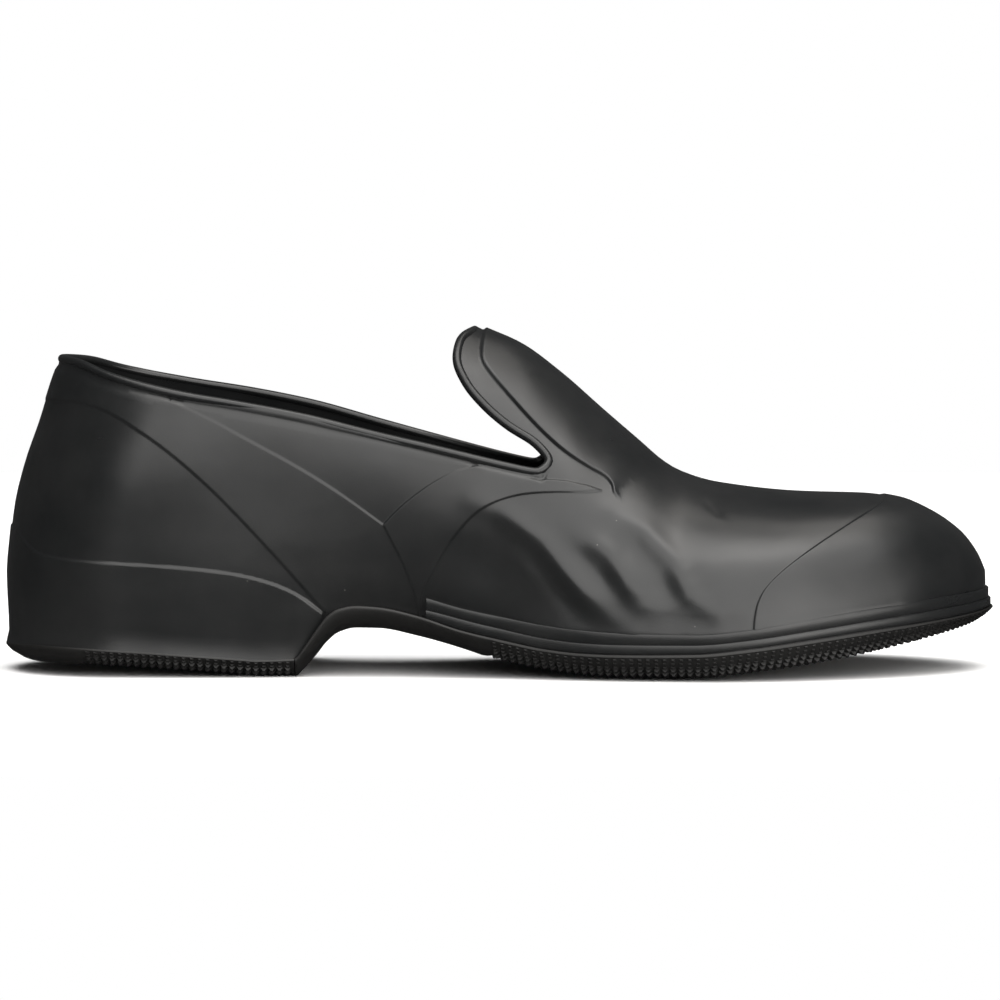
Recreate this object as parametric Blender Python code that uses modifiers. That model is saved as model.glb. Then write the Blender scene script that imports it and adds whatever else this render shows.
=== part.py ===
"""Moulded rubber overshoe for a right foot, as separate solids in metres.

The shoe points along +X and stands on z = 0. The lateral side is -Y and the medial side +Y.
Sizes below are in millimetres from the back of the heel and from the floor, and MM turns
them into metres. The origin is the middle of the whole shoe on the floor.

Pieces: the upper is one hollow moulding with a rolled bead, a raised instep flap and the
raised panels of its wall. It stands on the rims of the outsole and the heel, a stepped
foxing band runs round the forefoot, and a thin insole lies inside.
"""

import math
from collections import namedtuple

import bmesh
import bpy
from mathutils import Vector

MM = 0.001

# Driving sizes
LENGTH = 308.4
WALL = 1.9
GAP = 0.3
BEAD_RADIUS = 1.35
SOLE_SHEET = 3.6
HEEL_RADIUS = 38.0
TOE_LENGTH = 100.0
TOE_POWER = 2.1
TOE_INSET = 2.8
BREAST = 91.5
EDGE_SLANT = 4.5
CROWN_INSET = 16.0
TUCK_FADE = 20.0
POCKET_DEPTH = 30.0
POCKET_LAP = 5.0
POCKET_BACK = 4.0
POCKET_FRONT = 301.0

# The middle of the shoe's box, which becomes the origin
ORIGIN_X = LENGTH / 2
ORIGIN_Y = -0.1

# Plan of the shoe: the middle line, the half width of the sole before its ends are rounded,
# and how far the upper's wall stands inside the sole's edge.
Plan = namedtuple("Plan", "x middle half inset")
PLAN = [
    Plan(0, 0.0, 38.0, 0.9),
    Plan(38, 0.0, 38.4, 0.9),
    Plan(60, -0.5, 38.6, 0.9),
    Plan(90, -0.5, 36.8, 1.0),
    Plan(120, -2.6, 34.4, 1.6),
    Plan(150, -4.2, 37.8, 2.4),
    Plan(180, -3.6, 46.2, 2.8),
    Plan(205, -1.4, 52.6, 2.8),
    Plan(222, -0.2, 55.0, 2.8),
    Plan(240, 1.0, 55.8, 2.8),
    Plan(260, 2.2, 55.6, 2.8),
    Plan(280, 3.2, 54.8, 2.8),
    Plan(LENGTH, 4.2, 52.0, 2.8),
]

# Lengthwise section of the sole: its underside along the middle, the lip along its edge, and
# how much higher than the middle the underside is where the slanting edge starts.
Edge = namedtuple("Edge", "x bottom lip crown")
EDGE = [
    Edge(0, 5.2, 8.2, 0.0),
    Edge(6, 4.1, 8.8, 0.0),
    Edge(12, 3.6, 9.1, 0.0),
    Edge(22, 3.5, 9.0, 0.0),
    Edge(30, 3.4, 8.7, 0.0),
    Edge(40, 2.9, 8.2, 0.0),
    Edge(54, 2.0, 7.3, 0.0),
    Edge(68, 1.0, 6.3, 0.0),
    Edge(76, 0.3, 5.7, 0.0),
    Edge(80, 0.0, 5.4, 0.0),
    Edge(BREAST, 0.0, 5.7, 0.0),
    Edge(94.5, 2.6, 9.2, 0.0),
    Edge(98, 6.5, 14.2, 0.0),
    Edge(101.5, 10.8, 18.6, 0.0),
    Edge(105, 13.5, 20.8, 0.0),
    Edge(110, 14.8, 21.7, 0.0),
    Edge(117, 14.7, 21.3, 0.0),
    Edge(128.8, 12.5, 18.8, 0.0),
    Edge(142, 9.0, 14.6, 0.0),
    Edge(155, 4.8, 11.7, 0.2),
    Edge(167, 2.2, 9.4, 0.6),
    Edge(178, 0.7, 8.3, 0.8),
    Edge(188, 0.0, 8.0, 0.9),
    Edge(212, 0.0, 8.3, 0.9),
    Edge(229, 1.5, 9.8, 0.9),
    Edge(248, 4.0, 12.2, 0.7),
    Edge(268, 7.5, 14.7, 0.2),
    Edge(286, 11.1, 16.6, 0.0),
    Edge(299, 13.9, 18.0, 0.0),
    Edge(LENGTH, 16.7, 19.2, 0.0),
]

# Side view of the upper: the top of its closed section (behind the flap, the height at
# which its leaning walls would meet), where the section is widest, how far it tucks in
# below that, how square it is, and how far the crest lies to the medial side.
Section = namedtuple("Section", "x crest widest tuck square crest_shift")
SECTION = [
    Section(0, 150.0, 30.0, 0.6, 2.0, 0.0),
    Section(60, 145.0, 30.0, 0.8, 2.0, 0.0),
    Section(80, 139.0, 34.0, 1.6, 2.0, 0.3),
    Section(100, 131.0, 40.0, 2.2, 2.0, 1.0),
    Section(125, 118.5, 42.0, 2.4, 2.0, 3.0),
    Section(147.3, 106.1, 38.0, 1.4, 2.0, 5.5),
    Section(160.4, 100.2, 33.0, 0.9, 1.9, 6.5),
    Section(172.8, 91.1, 28.0, 0.6, 1.85, 6.8),
    Section(185.3, 80.2, 24.0, 0.6, 1.8, 6.2),
    Section(197.8, 70.2, 22.0, 0.4, 1.85, 5.4),
    Section(210.3, 61.4, 20.0, 0.3, 1.9, 4.0),
    Section(222.9, 57.7, 20.0, 0.3, 2.0, 2.6),
    Section(247.9, 54.9, 22.0, 0.3, 2.2, 1.6),
    Section(268, 54.3, 24.0, 0.3, 2.3, 1.0),
    Section(279.1, 52.7, 24.5, 0.3, 2.3, 0.6),
    Section(288.5, 48.8, 25.0, 0.2, 2.3, 0.3),
    Section(297.9, 42.2, 25.0, 0.1, 2.3, 0.0),
    Section(303.0, 35.6, 24.5, 0.0, 2.3, 0.0),
    Section(LENGTH - TOE_INSET, 30.0, 24.0, 0.0, 2.3, 0.0),
]

# Profile of the heel's back
Back = namedtuple("Back", "z x")
BACK = [
    Back(0.0, 1.6),
    Back(7.0, 1.5),
    Back(14.6, 1.3),
    Back(30.3, 0.7),
    Back(39.7, 1.5),
    Back(52.2, 3.1),
    Back(64.7, 6.3),
    Back(77.2, 10.7),
    Back(89.6, 14.6),
    Back(97.0, 17.4),
]

# Collar from the back of the heel to the notch at the side of the flap
Collar = namedtuple("Collar", "x lateral medial")
COLLAR = [
    Collar(17.4, 96.6, 96.6),
    Collar(24.4, 95.6, 95.8),
    Collar(34.4, 91.9, 92.9),
    Collar(54.6, 86.4, 88.6),
    Collar(74.8, 82.9, 85.4),
    Collar(94.8, 79.0, 81.4),
    Collar(115.1, 73.9, 75.8),
    Collar(135.3, 69.3, 70.2),
    Collar(155.3, 64.6, 64.8),
    Collar(165.6, 62.4, 62.4),
]

# Rear edge of the flap, from the notch up to the middle of its top
Rim = namedtuple("Rim", "step x z")
RIM = [
    Rim(0, 165.6, 62.4),
    Rim(1, 169.3, 66.0),
    Rim(2, 165.2, 71.4),
    Rim(3, 157.2, 76.4),
    Rim(4, 149.6, 82.8),
    Rim(5, 143.8, 89.8),
    Rim(6, 141.0, 96.8),
    Rim(7, 142.2, 102.8),
    Rim(8, 147.3, 106.1),
]

# Foxing band round the forefoot: heights of its middle step and its top above the lip
Foxing = namedtuple("Foxing", "x middle top")
FOXING = [
    Foxing(129, 2.4, 6.2),
    Foxing(142, 3.5, 6.8),
    Foxing(167, 3.3, 7.2),
    Foxing(204, 3.0, 6.2),
    Foxing(222, 2.8, 5.8),
    Foxing(249, 3.0, 6.6),
    Foxing(284, 3.2, 6.9),
    Foxing(LENGTH, 3.0, 6.2),
]
FOXING_START = 131.5
FOXING_LOWER_INSET = 0.7
FOXING_UPPER_INSET = 1.4
FOXING_CHAMFER = 0.4

CORE_SHARES = (-0.5, 0.0, 0.5, 1.0, 1.6)

# Insole
INSOLE_THICKNESS = 1.5
INSOLE_BACK = 7.0
INSOLE_FRONT = 300.0

# Lines moulded in the wall, in side view. Each raised panel is bounded by some of them.
Mark = namedtuple("Mark", "x z")
COUNTER_LINE = [
    Mark(8.0, 83.6), Mark(24.0, 83.8), Mark(31.9, 82.0), Mark(38.9, 78.5), Mark(51.7, 70.1),
    Mark(64.7, 59.1), Mark(77.8, 45.7), Mark(91.1, 31.0), Mark(100.8, 19.5),
]
HEEL_LINE = [
    Mark(-4.0, 45.5), Mark(4.0, 45.0), Mark(7.0, 42.0), Mark(11.8, 37.4), Mark(21.7, 35.6),
    Mark(41.5, 34.6), Mark(61.3, 33.3), Mark(77.7, 31.0), Mark(91.1, 26.4), Mark(100.0, 19.5),
]
SWEEP_LINE = [
    Mark(49.8, 86.0), Mark(65.0, 79.2), Mark(78.0, 71.9), Mark(91.3, 64.8), Mark(104.4, 56.8),
    Mark(118.6, 46.5), Mark(121.3, 41.3), Mark(124.4, 35.2), Mark(127.0, 28.9), Mark(129.0, 22.0),
]
WING_LINE = [
    Mark(118.8, 46.8), Mark(122.6, 50.9), Mark(128.9, 56.1), Mark(135.0, 60.2), Mark(141.3, 63.2),
    Mark(146.9, 64.0),
]
GUSSET_LINE = [Mark(165.7, 60.6), Mark(174.2, 59.9), Mark(181.4, 58.9)]
ARC_LINE = [
    Mark(183.8, 56.2), Mark(170.3, 56.6), Mark(162.3, 56.2), Mark(156.1, 54.9), Mark(150.5, 52.7),
    Mark(145.7, 49.5), Mark(141.3, 44.6), Mark(137.5, 39.2), Mark(133.8, 32.4), Mark(130.6, 26.2),
    Mark(129.8, 22.0),
]
CAP_LINE = [
    Mark(230.4, 17.5), Mark(230.8, 20.2), Mark(231.7, 23.9), Mark(234.0, 28.2), Mark(239.0, 33.0),
    Mark(246.0, 37.9), Mark(255.5, 43.8), Mark(265.0, 48.8), Mark(272.0, 51.8), Mark(278.0, 56.0),
]
FLAP_LINE = [
    Mark(151.0, 110.0), Mark(148.6, 103.0), Mark(148.0, 97.0), Mark(149.6, 93.6), Mark(155.0, 87.3),
    Mark(164.8, 76.4), Mark(173.0, 68.8), Mark(180.6, 63.8), Mark(186.0, 61.0), Mark(188.2, 58.6),
    Mark(188.6, 56.4),
]

# Foot of each panel where it follows the edge of the wall, and its run below the bead
HEEL_FOOT = (99.0, -4.0)
SWEEP_FOOT = (102.0, 128.0)
SWEEP_BACK = Mark(8.0, 96.0)
SWEEP_COLLAR = (44.0, 34.4, 24.4, 17.4)
WING_COLLAR = (151.0, 158.0)
CAP_FOOT = (300, 290, 275, 260, 245, 233)
CAP_FRONT = 315.0
CAP_OVER = 70.0
FLAP_FRONT = [Mark(216.0, 50.0), Mark(216.0, 110.0)]

HEEL_RISE = 0.6
SWEEP_RISE = 0.4
WING_RISE = 0.7
CAP_RISE = 0.5
FLAP_RISE = 1.0
FLAP_FADE = (178.0, 214.0)
PANEL_ROOT = 0.9
PANEL_MARGIN = 0.7
PANEL_LAP = 0.6
PRISM_REACH = 80.0
WELD = 0.03
SHARP_ANGLE = math.radians(35)

# Stations along the sole's edge where the upper has a column of its grid
HEEL_FAN = [HEEL_RADIUS * (1 - math.cos(math.radians(a))) for a in (0, 11, 22, 33, 44, 56, 69, 84)]
WAIST_STATIONS = [46, 58, 70, 81, 89, 93, 96.5, 100, 103.5, 108, 115, 124, 133, 142, 151, 160]
FRONT_STATIONS = [167, 174, 182, 190, 198, 206, 214, 222, 231, 240, 249, 258, 267, 275, 282]
TOE_TIP = LENGTH - TOE_INSET
TOE_STATIONS = [288, 293, 297, 300, 302.5, 304.3, TOE_TIP]
BREAST_STATIONS = [80.0, 87.0, 91.0, 93.5, 95.5, 98.0, 100.5, 103.0, 106.0, 110.0, 115.0]
LOWER_ROWS = 10
UPPER_ROWS = 8
RIM_REACH = 7
LEVEL_SHARE = 0.6
LEVEL_FADE = 60.0


class Table:
    """A smooth curve through a table's rows that never overshoots them."""

    def __init__(self, rows, key, value):
        self.keys = [getattr(row, key) for row in rows]
        self.values = [getattr(row, value) for row in rows]
        steps = [b - a for a, b in zip(self.keys, self.keys[1:])]
        rises = [b - a for a, b in zip(self.values, self.values[1:])]
        slopes = [rise / step for rise, step in zip(rises, steps)]
        self.tangents = [slopes[0]]
        for before, after in zip(slopes, slopes[1:]):
            if before * after <= 0:
                self.tangents.append(0.0)
            else:
                self.tangents.append(2 * before * after / (before + after))
        self.tangents.append(slopes[-1])

    def at(self, key):
        """Value at a key, held level beyond the table's ends."""
        if key <= self.keys[0]:
            return self.values[0]
        if key >= self.keys[-1]:
            return self.values[-1]
        index = max(i for i, k in enumerate(self.keys) if k <= key)
        step = self.keys[index + 1] - self.keys[index]
        t = (key - self.keys[index]) / step
        low, high = self.values[index], self.values[index + 1]
        start, end = self.tangents[index] * step, self.tangents[index + 1] * step
        return (
            low * (1 + 2 * t) * (1 - t) ** 2
            + high * t * t * (3 - 2 * t)
            + start * t * (1 - t) ** 2
            + end * t * t * (t - 1)
        )


middle_line = Table(PLAN, "x", "middle")
sole_half = Table(PLAN, "x", "half")
upper_inset = Table(PLAN, "x", "inset")
sole_bottom = Table(EDGE, "x", "bottom")
sole_lip = Table(EDGE, "x", "lip")
sole_crown = Table(EDGE, "x", "crown")
crest_height = Table(SECTION, "x", "crest")
widest_height = Table(SECTION, "x", "widest")
base_tuck = Table(SECTION, "x", "tuck")
squareness = Table(SECTION, "x", "square")
crest_shift = Table(SECTION, "x", "crest_shift")
heel_back = Table(BACK, "z", "x")
collar_height = {-1: Table(COLLAR, "x", "lateral"), 1: Table(COLLAR, "x", "medial")}
rim_x = Table(RIM, "step", "x")
rim_z = Table(RIM, "step", "z")
foxing_middle = Table(FOXING, "x", "middle")
foxing_top = Table(FOXING, "x", "top")


def heel_rounding(distance):
    """Share of the full width at a distance from the back of the heel."""
    t = min(max(distance / HEEL_RADIUS, 0.0), 1.0)
    return math.sqrt(1 - (1 - t) ** 2)


def toe_rounding(distance):
    """Share of the full width at a distance from the tip of the toe."""
    t = min(max(1 - distance / TOE_LENGTH, 0.0), 1.0)
    return math.sqrt(1 - t ** TOE_POWER)


def slope_factor(table, x):
    """Length of a sloping line for each unit of its run."""
    slope = (table.at(x + 0.5) - table.at(x - 0.5))
    return math.sqrt(1 + slope * slope)


def lip_clearance(x):
    """Upright clearance that leaves GAP square to the lip."""
    return GAP * slope_factor(sole_lip, x)


def upper_base(x):
    """Height of the upper's lower edge, which stands on the rim of the sole."""
    return sole_lip.at(x) + lip_clearance(x)


def upper_point(side, x, z, swell=0.0):
    """Point of the upper's outer face, or of a like form that is larger by swell."""
    half = sole_half.at(x) - upper_inset.at(x) + swell
    half *= heel_rounding(x - heel_back.at(z) + swell)
    half *= toe_rounding(TOE_TIP - x + swell)
    widest = widest_height.at(x)
    base = upper_base(x)
    middle = middle_line.at(x)
    if z >= widest:
        rise = min((z - widest) / (crest_height.at(x) + swell - widest), 1.0)
        power = squareness.at(x)
        half *= (1 - rise ** power) ** (1 / power)
        middle += crest_shift.at(x) * rise ** 1.5
    else:
        fall = (widest - z) / (widest - base)
        half -= base_tuck.at(x) * fall * fall * min(half / TUCK_FADE, 1.0)
    return Vector((x, middle + side * max(half, 0.0), z))


def column_base(index, stations):
    """Start of a column on the sole's edge."""
    return max(stations[index], heel_back.at(upper_base(0)))


def lower_row(side, index, share, stations):
    """Point of a column between the sole's edge and the collar or the notch's level."""
    notch_base = WAIST_STATIONS[-1]
    start = heel_back.at(upper_base(0))
    base_x = column_base(index, stations)
    if base_x <= notch_base:
        back_top = COLLAR[0].x
        stretch = (RIM[0].x - back_top) / (notch_base - start)
        top_x = back_top + (base_x - start) * stretch
        top_z = collar_height[side].at(top_x)
    else:
        top_x = level_x(base_x)
        top_z = level_z(top_x)
    base_z = upper_base(base_x)
    z = base_z + (top_z - base_z) * share
    x = base_x + (top_x - base_x) * share
    if base_x < HEEL_RADIUS:
        lean = heel_back.at(z) - start - (back_top - start) * share
        x += lean * (1 - (base_x - start) / (HEEL_RADIUS - start))
    return upper_point(side, x, z)


def level_x(base_x):
    """Forward place, at the notch's level, of a column that starts at base_x."""
    notch_base = WAIST_STATIONS[-1]
    return RIM[0].x + (base_x - notch_base) * (TOE_TIP - RIM[0].x) / (TOE_TIP - notch_base)


def level_z(x):
    """Height of the level that runs from the notch to the toe."""
    base = upper_base(x)
    notch_share = (RIM[0].z - upper_base(RIM[0].x)) / (crest_height.at(RIM[0].x) - upper_base(RIM[0].x))
    fade = min((x - RIM[0].x) / LEVEL_FADE, 1.0)
    share = notch_share + (LEVEL_SHARE - notch_share) * fade
    return base + (crest_height.at(x) - base) * share


def upper_row(side, index, row, stations):
    """Point of a column between the notch's level and the ridge of the vamp."""
    notch_index = len(HEEL_FAN) + len(WAIST_STATIONS) - 1
    notch_base = WAIST_STATIONS[-1]
    base_x = stations[index]
    share = row / UPPER_ROWS
    ridge_x = RIM[-1].x + (base_x - notch_base) * (TOE_TIP - RIM[-1].x) / (TOE_TIP - notch_base)
    start_x = level_x(base_x)
    x = start_x + (ridge_x - start_x) * share
    level_share = (level_z(start_x) - upper_base(start_x)) / (crest_height.at(start_x) - upper_base(start_x))
    height_share = level_share + (1 - level_share) * math.sin(share * math.pi / 2)
    pull = max(0.0, 1 - (index - notch_index) / RIM_REACH) ** 2
    straight_x = RIM[0].x + (RIM[-1].x - RIM[0].x) * share
    x += (rim_x.at(row) - straight_x) * pull
    rim_base = upper_base(rim_x.at(row))
    rim_share = (rim_z.at(row) - rim_base) / (crest_height.at(rim_x.at(row)) - rim_base)
    height_share += (rim_share - height_share) * pull
    if row == UPPER_ROWS:
        height_share = 1.0
    base = upper_base(x)
    return upper_point(side, x, base + (crest_height.at(x) - base) * height_share)


def all_stations():
    """Stations of every column, from the back of the heel to the tip of the toe."""
    return HEEL_FAN + WAIST_STATIONS + FRONT_STATIONS + TOE_STATIONS


def new_collection(name):
    """Make a collection in the scene."""
    collection = bpy.data.collections.new(name)
    bpy.context.scene.collection.children.link(collection)
    return collection


def place(point):
    """Turn a point in the shoe's millimetres into metres from the origin."""
    return Vector(((point[0] - ORIGIN_X) * MM, (point[1] - ORIGIN_Y) * MM, point[2] * MM))


def finish_mesh(name, mesh_data, collection):
    """Weld a bmesh, point its faces outward and link it as an object."""
    bmesh.ops.remove_doubles(mesh_data, verts=mesh_data.verts, dist=0.01 * MM)
    bmesh.ops.dissolve_degenerate(mesh_data, edges=mesh_data.edges, dist=0.01 * MM)
    bmesh.ops.recalc_face_normals(mesh_data, faces=mesh_data.faces)
    mesh = bpy.data.meshes.new(name)
    mesh_data.to_mesh(mesh)
    mesh_data.free()
    mesh.shade_smooth()
    mesh.set_sharp_from_angle(angle=SHARP_ANGLE)
    thing = bpy.data.objects.new(name, mesh)
    collection.objects.link(thing)
    return thing


def make_material(name, colour, roughness):
    """Plain rubber or cloth finish."""
    material = bpy.data.materials.new(name)
    material.use_nodes = True
    shader = material.node_tree.nodes["Principled BSDF"]
    shader.inputs["Base Color"].default_value = (*colour, 1)
    shader.inputs["Roughness"].default_value = roughness
    shader.inputs["Metallic"].default_value = 0.0
    material.diffuse_color = (*colour, 1)
    return material


def ladder_solid(name, rings, collection):
    """Closed solid from stacked rings, each a lateral and a medial line from heel to toe."""
    shape = bmesh.new()
    rows = []
    for lateral, medial in rings:
        rows.append(([shape.verts.new(place(p)) for p in lateral],
                     [shape.verts.new(place(p)) for p in medial]))
    count = len(rings[0][0])
    for i in range(count - 1):
        for lateral, medial in (rows[0], rows[-1]):
            shape.faces.new((lateral[i], lateral[i + 1], medial[i + 1], medial[i]))
        for low, high in zip(rows, rows[1:]):
            for below, above in zip(low, high):
                shape.faces.new((below[i], below[i + 1], above[i + 1], above[i]))
    for end in (0, count - 1):
        for low, high in zip(rows, rows[1:]):
            shape.faces.new((low[0][end], high[0][end], high[1][end], low[1][end]))
    return finish_mesh(name, shape, collection)


def sole_ring(stations, inset, height):
    """Ring of the sole's plan, set in by inset, with its height a function of x."""
    lines = []
    for side in (-1, 1):
        line = []
        for x in stations:
            here = outline_point(side, x)
            ahead = outline_point(side, min(x + 0.05, LENGTH))
            behind = outline_point(side, max(x - 0.05, 0.0))
            along = (ahead - behind).normalized()
            inward = Vector((along.y, -along.x, 0)) * side
            point = here + inward * inset
            if x in (0.0, LENGTH):
                point.y = middle_line.at(x)
            if abs(x - BREAST) < 1.0:
                point.x = x
            line.append(Vector((point.x, point.y, height(point.x))))
        lines.append(line)
    return lines


def outline_point(side, x):
    """Point of the sole's plan outline."""
    half = sole_half.at(x) * heel_rounding(x) * toe_rounding(LENGTH - x)
    return Vector((x, middle_line.at(x) + side * half, 0))


def sole_rings(stations):
    """Rings of a sole solid: its underside, its slanting edge and its lip."""

    def edge_height(share):
        """Height function at a share of the slanting edge's rise."""
        def height(x):
            foot = sole_bottom.at(x) + sole_crown.at(x)
            return foot + (sole_lip.at(x) - foot) * share
        return height

    return [
        sole_ring(stations, CROWN_INSET, sole_bottom.at),
        sole_ring(stations, EDGE_SLANT, edge_height(0.0)),
        sole_ring(stations, EDGE_SLANT * 0.35, edge_height(0.35)),
        sole_ring(stations, 0.0, edge_height(0.8)),
        sole_ring(stations, 0.2, edge_height(1.0)),
    ]


def sole_floor(x):
    """Top of the sole's sheet, which is as thick square to its slope everywhere."""
    return sole_bottom.at(x) + SOLE_SHEET * slope_factor(sole_bottom, x)


def end_stations(start, end, step, fan_heel, fan_toe):
    """Stations between two places, closer together round the heel, the breast and the toe."""
    inner_start = HEEL_RADIUS * 0.9 if fan_heel else start
    inner_end = LENGTH - TOE_LENGTH * 0.4 if fan_toe else end
    stations = []
    if fan_heel:
        stations += [inner_start * (1 - math.cos(math.radians(a))) for a in range(0, 90, 10)]
    count = max(1, round((inner_end - inner_start) / step))
    stations += [inner_start + (inner_end - inner_start) * i / count for i in range(count + 1)]
    if fan_toe:
        reach = LENGTH - inner_end
        stations += [inner_end + reach * math.sin(math.radians(a)) for a in range(9, 91, 9)]
    low, high = BREAST_STATIONS[0] - 2, BREAST_STATIONS[-1] + 2
    stations = [x for x in stations if not low < x < high or x in (start, end)]
    stations += [x for x in BREAST_STATIONS if start < x < end]
    return sorted(set(stations))


def boolean(thing, cutter, operation):
    """Cut or join a solid with another, or with a collection of them, and keep the result."""
    modifier = thing.modifiers.new(operation.title(), "BOOLEAN")
    modifier.operation = operation
    modifier.solver = "EXACT"
    if isinstance(cutter, bpy.types.Collection):
        modifier.operand_type = "COLLECTION"
        modifier.collection = cutter
    else:
        modifier.object = cutter
    graph = bpy.context.evaluated_depsgraph_get()
    mesh = bpy.data.meshes.new_from_object(thing.evaluated_get(graph))
    thing.modifiers.clear()
    old = thing.data
    thing.data = mesh
    mesh.name = thing.name
    bpy.data.meshes.remove(old)


def tidy_mesh(thing):
    """Drop the stray points that a join leaves along its edges, and triangulate."""
    shape = bmesh.new()
    shape.from_mesh(thing.data)
    bmesh.ops.remove_doubles(shape, verts=shape.verts, dist=WELD * MM)
    bmesh.ops.dissolve_degenerate(shape, edges=shape.edges, dist=WELD * MM)
    loose = [vertex for vertex in shape.verts if len(vertex.link_edges) == 2]
    bmesh.ops.dissolve_verts(shape, verts=loose)
    bare = [edge for edge in shape.edges if not edge.link_faces]
    bmesh.ops.delete(shape, geom=bare, context="EDGES")
    bmesh.ops.triangulate(shape, faces=shape.faces)
    shape.to_mesh(thing.data)
    shape.free()


def as_cutter(thing):
    """Mark a solid that only cuts others."""
    thing.hide_render = True
    thing.display_type = "WIRE"
    return thing


def build_pocket(name, swell, start, end, cutters):
    """Form inside the upper's wall, used to hollow the sole and to trim the insole."""
    stations = [x for x in end_stations(0, LENGTH, 6, True, True) if start < x < end]
    stations = [start] + stations + [end]
    rings = []
    for lift in (0.0, POCKET_DEPTH):
        lines = []
        for side in (-1, 1):
            line = []
            for x in stations:
                edge = upper_point(side, x, upper_base(x), swell)
                line.append(Vector((x, edge.y, sole_floor(x) + lift)))
            lines.append(line)
        rings.append(lines)
    return as_cutter(ladder_solid(name, rings, cutters))


def build_upper_surface():
    """Outer face of the upper as an open grid, with the order of its rim."""
    stations = all_stations()
    notch = len(HEEL_FAN) + len(WAIST_STATIONS) - 1
    shape = bmesh.new()
    grid = {}
    for side in (-1, 1):
        for i in range(len(stations)):
            rows = LOWER_ROWS + (UPPER_ROWS if i >= notch else 0)
            for j in range(rows + 1):
                if j <= LOWER_ROWS:
                    point = lower_row(side, i, j / LOWER_ROWS, stations)
                else:
                    point = upper_row(side, i, j - LOWER_ROWS, stations)
                grid[side, i, j] = shape.verts.new(place(point))
    for side in (-1, 1):
        for i in range(len(stations) - 1):
            rows = LOWER_ROWS + (UPPER_ROWS if i >= notch else 0)
            for j in range(rows):
                corners = [grid[side, i, j], grid[side, i + 1, j],
                           grid[side, i + 1, j + 1], grid[side, i, j + 1]]
                if side > 0:
                    corners.reverse()
                shape.faces.new(corners)
    rim = []
    for side in (-1, 1):
        collar = [grid[side, i, LOWER_ROWS].co.copy() for i in range(notch + 1)]
        flap = [grid[side, notch, LOWER_ROWS + j].co.copy() for j in range(1, UPPER_ROWS + 1)]
        rim.append(collar + flap)
    loop = rim[0] + list(reversed(rim[1]))[1:-1]
    bmesh.ops.remove_doubles(shape, verts=shape.verts, dist=0.01 * MM)
    return shape, loop


def wall_object(name, rise, depth, collection):
    """Shell of the upper's outer face, raised by rise(x) and as thick as depth."""
    surface, _ = build_upper_surface()
    surface.normal_update()
    for vertex in surface.verts:
        vertex.co += vertex.normal * rise(vertex.co.x / MM + ORIGIN_X) * MM
    mesh = bpy.data.meshes.new(name)
    surface.to_mesh(mesh)
    surface.free()
    shell = bpy.data.objects.new(name, mesh)
    collection.objects.link(shell)
    wall = shell.modifiers.new("Wall", "SOLIDIFY")
    wall.thickness = depth * MM
    wall.offset = -1.0
    wall.use_even_offset = True
    wall.use_quality_normals = True
    apply_modifiers(shell)
    return shell


def apply_modifiers(thing):
    """Replace an object's mesh with its evaluated one."""
    graph = bpy.context.evaluated_depsgraph_get()
    mesh = bpy.data.meshes.new_from_object(thing.evaluated_get(graph))
    thing.modifiers.clear()
    old = thing.data
    thing.data = mesh
    bpy.data.meshes.remove(old)
    mesh.name = thing.name


def prism(name, outline, cutters):
    """Side-view outline pushed through the whole width of the shoe."""
    shape = bmesh.new()
    near = [shape.verts.new(place((mark.x, -PRISM_REACH, mark.z))) for mark in outline]
    far = [shape.verts.new(place((mark.x, PRISM_REACH, mark.z))) for mark in outline]
    shape.faces.new(near)
    shape.faces.new(list(reversed(far)))
    count = len(outline)
    for i in range(count):
        j = (i + 1) % count
        shape.faces.new((near[i], far[i], far[j], near[j]))
    return as_cutter(finish_mesh(name, shape, cutters))


def make_panel(panels, name, outline, rise, cutters):
    """Raise the part of the wall that lies inside a side-view outline."""
    top = rise if callable(rise) else (lambda x: rise)
    depth = PANEL_ROOT + top(0.0)
    panel = wall_object(name, top, depth, cutters)
    cutter = prism(name + "_outline", outline, cutters)
    boolean(panel, cutter, "INTERSECT")
    panels.objects.link(as_cutter(panel))


def base_run(start, end, step):
    """Marks just above the upper's lower edge, from start to end."""
    count = max(2, round(abs(end - start) / step))
    places = [start + (end - start) * i / count for i in range(count + 1)]
    return [Mark(x, upper_base(x) + PANEL_MARGIN) for x in places]


def foxing_top_height(x):
    """Height of the foxing's top edge."""
    return sole_lip.at(x) + foxing_top.at(x)


def flap_rise(x):
    """Rise of the flap's panel, which melts into the vamp."""
    start, end = FLAP_FADE
    t = min(max((x - start) / (end - start), 0.0), 1.0)
    return FLAP_RISE - (FLAP_RISE + 0.3) * t * t * (3 - 2 * t)


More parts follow.
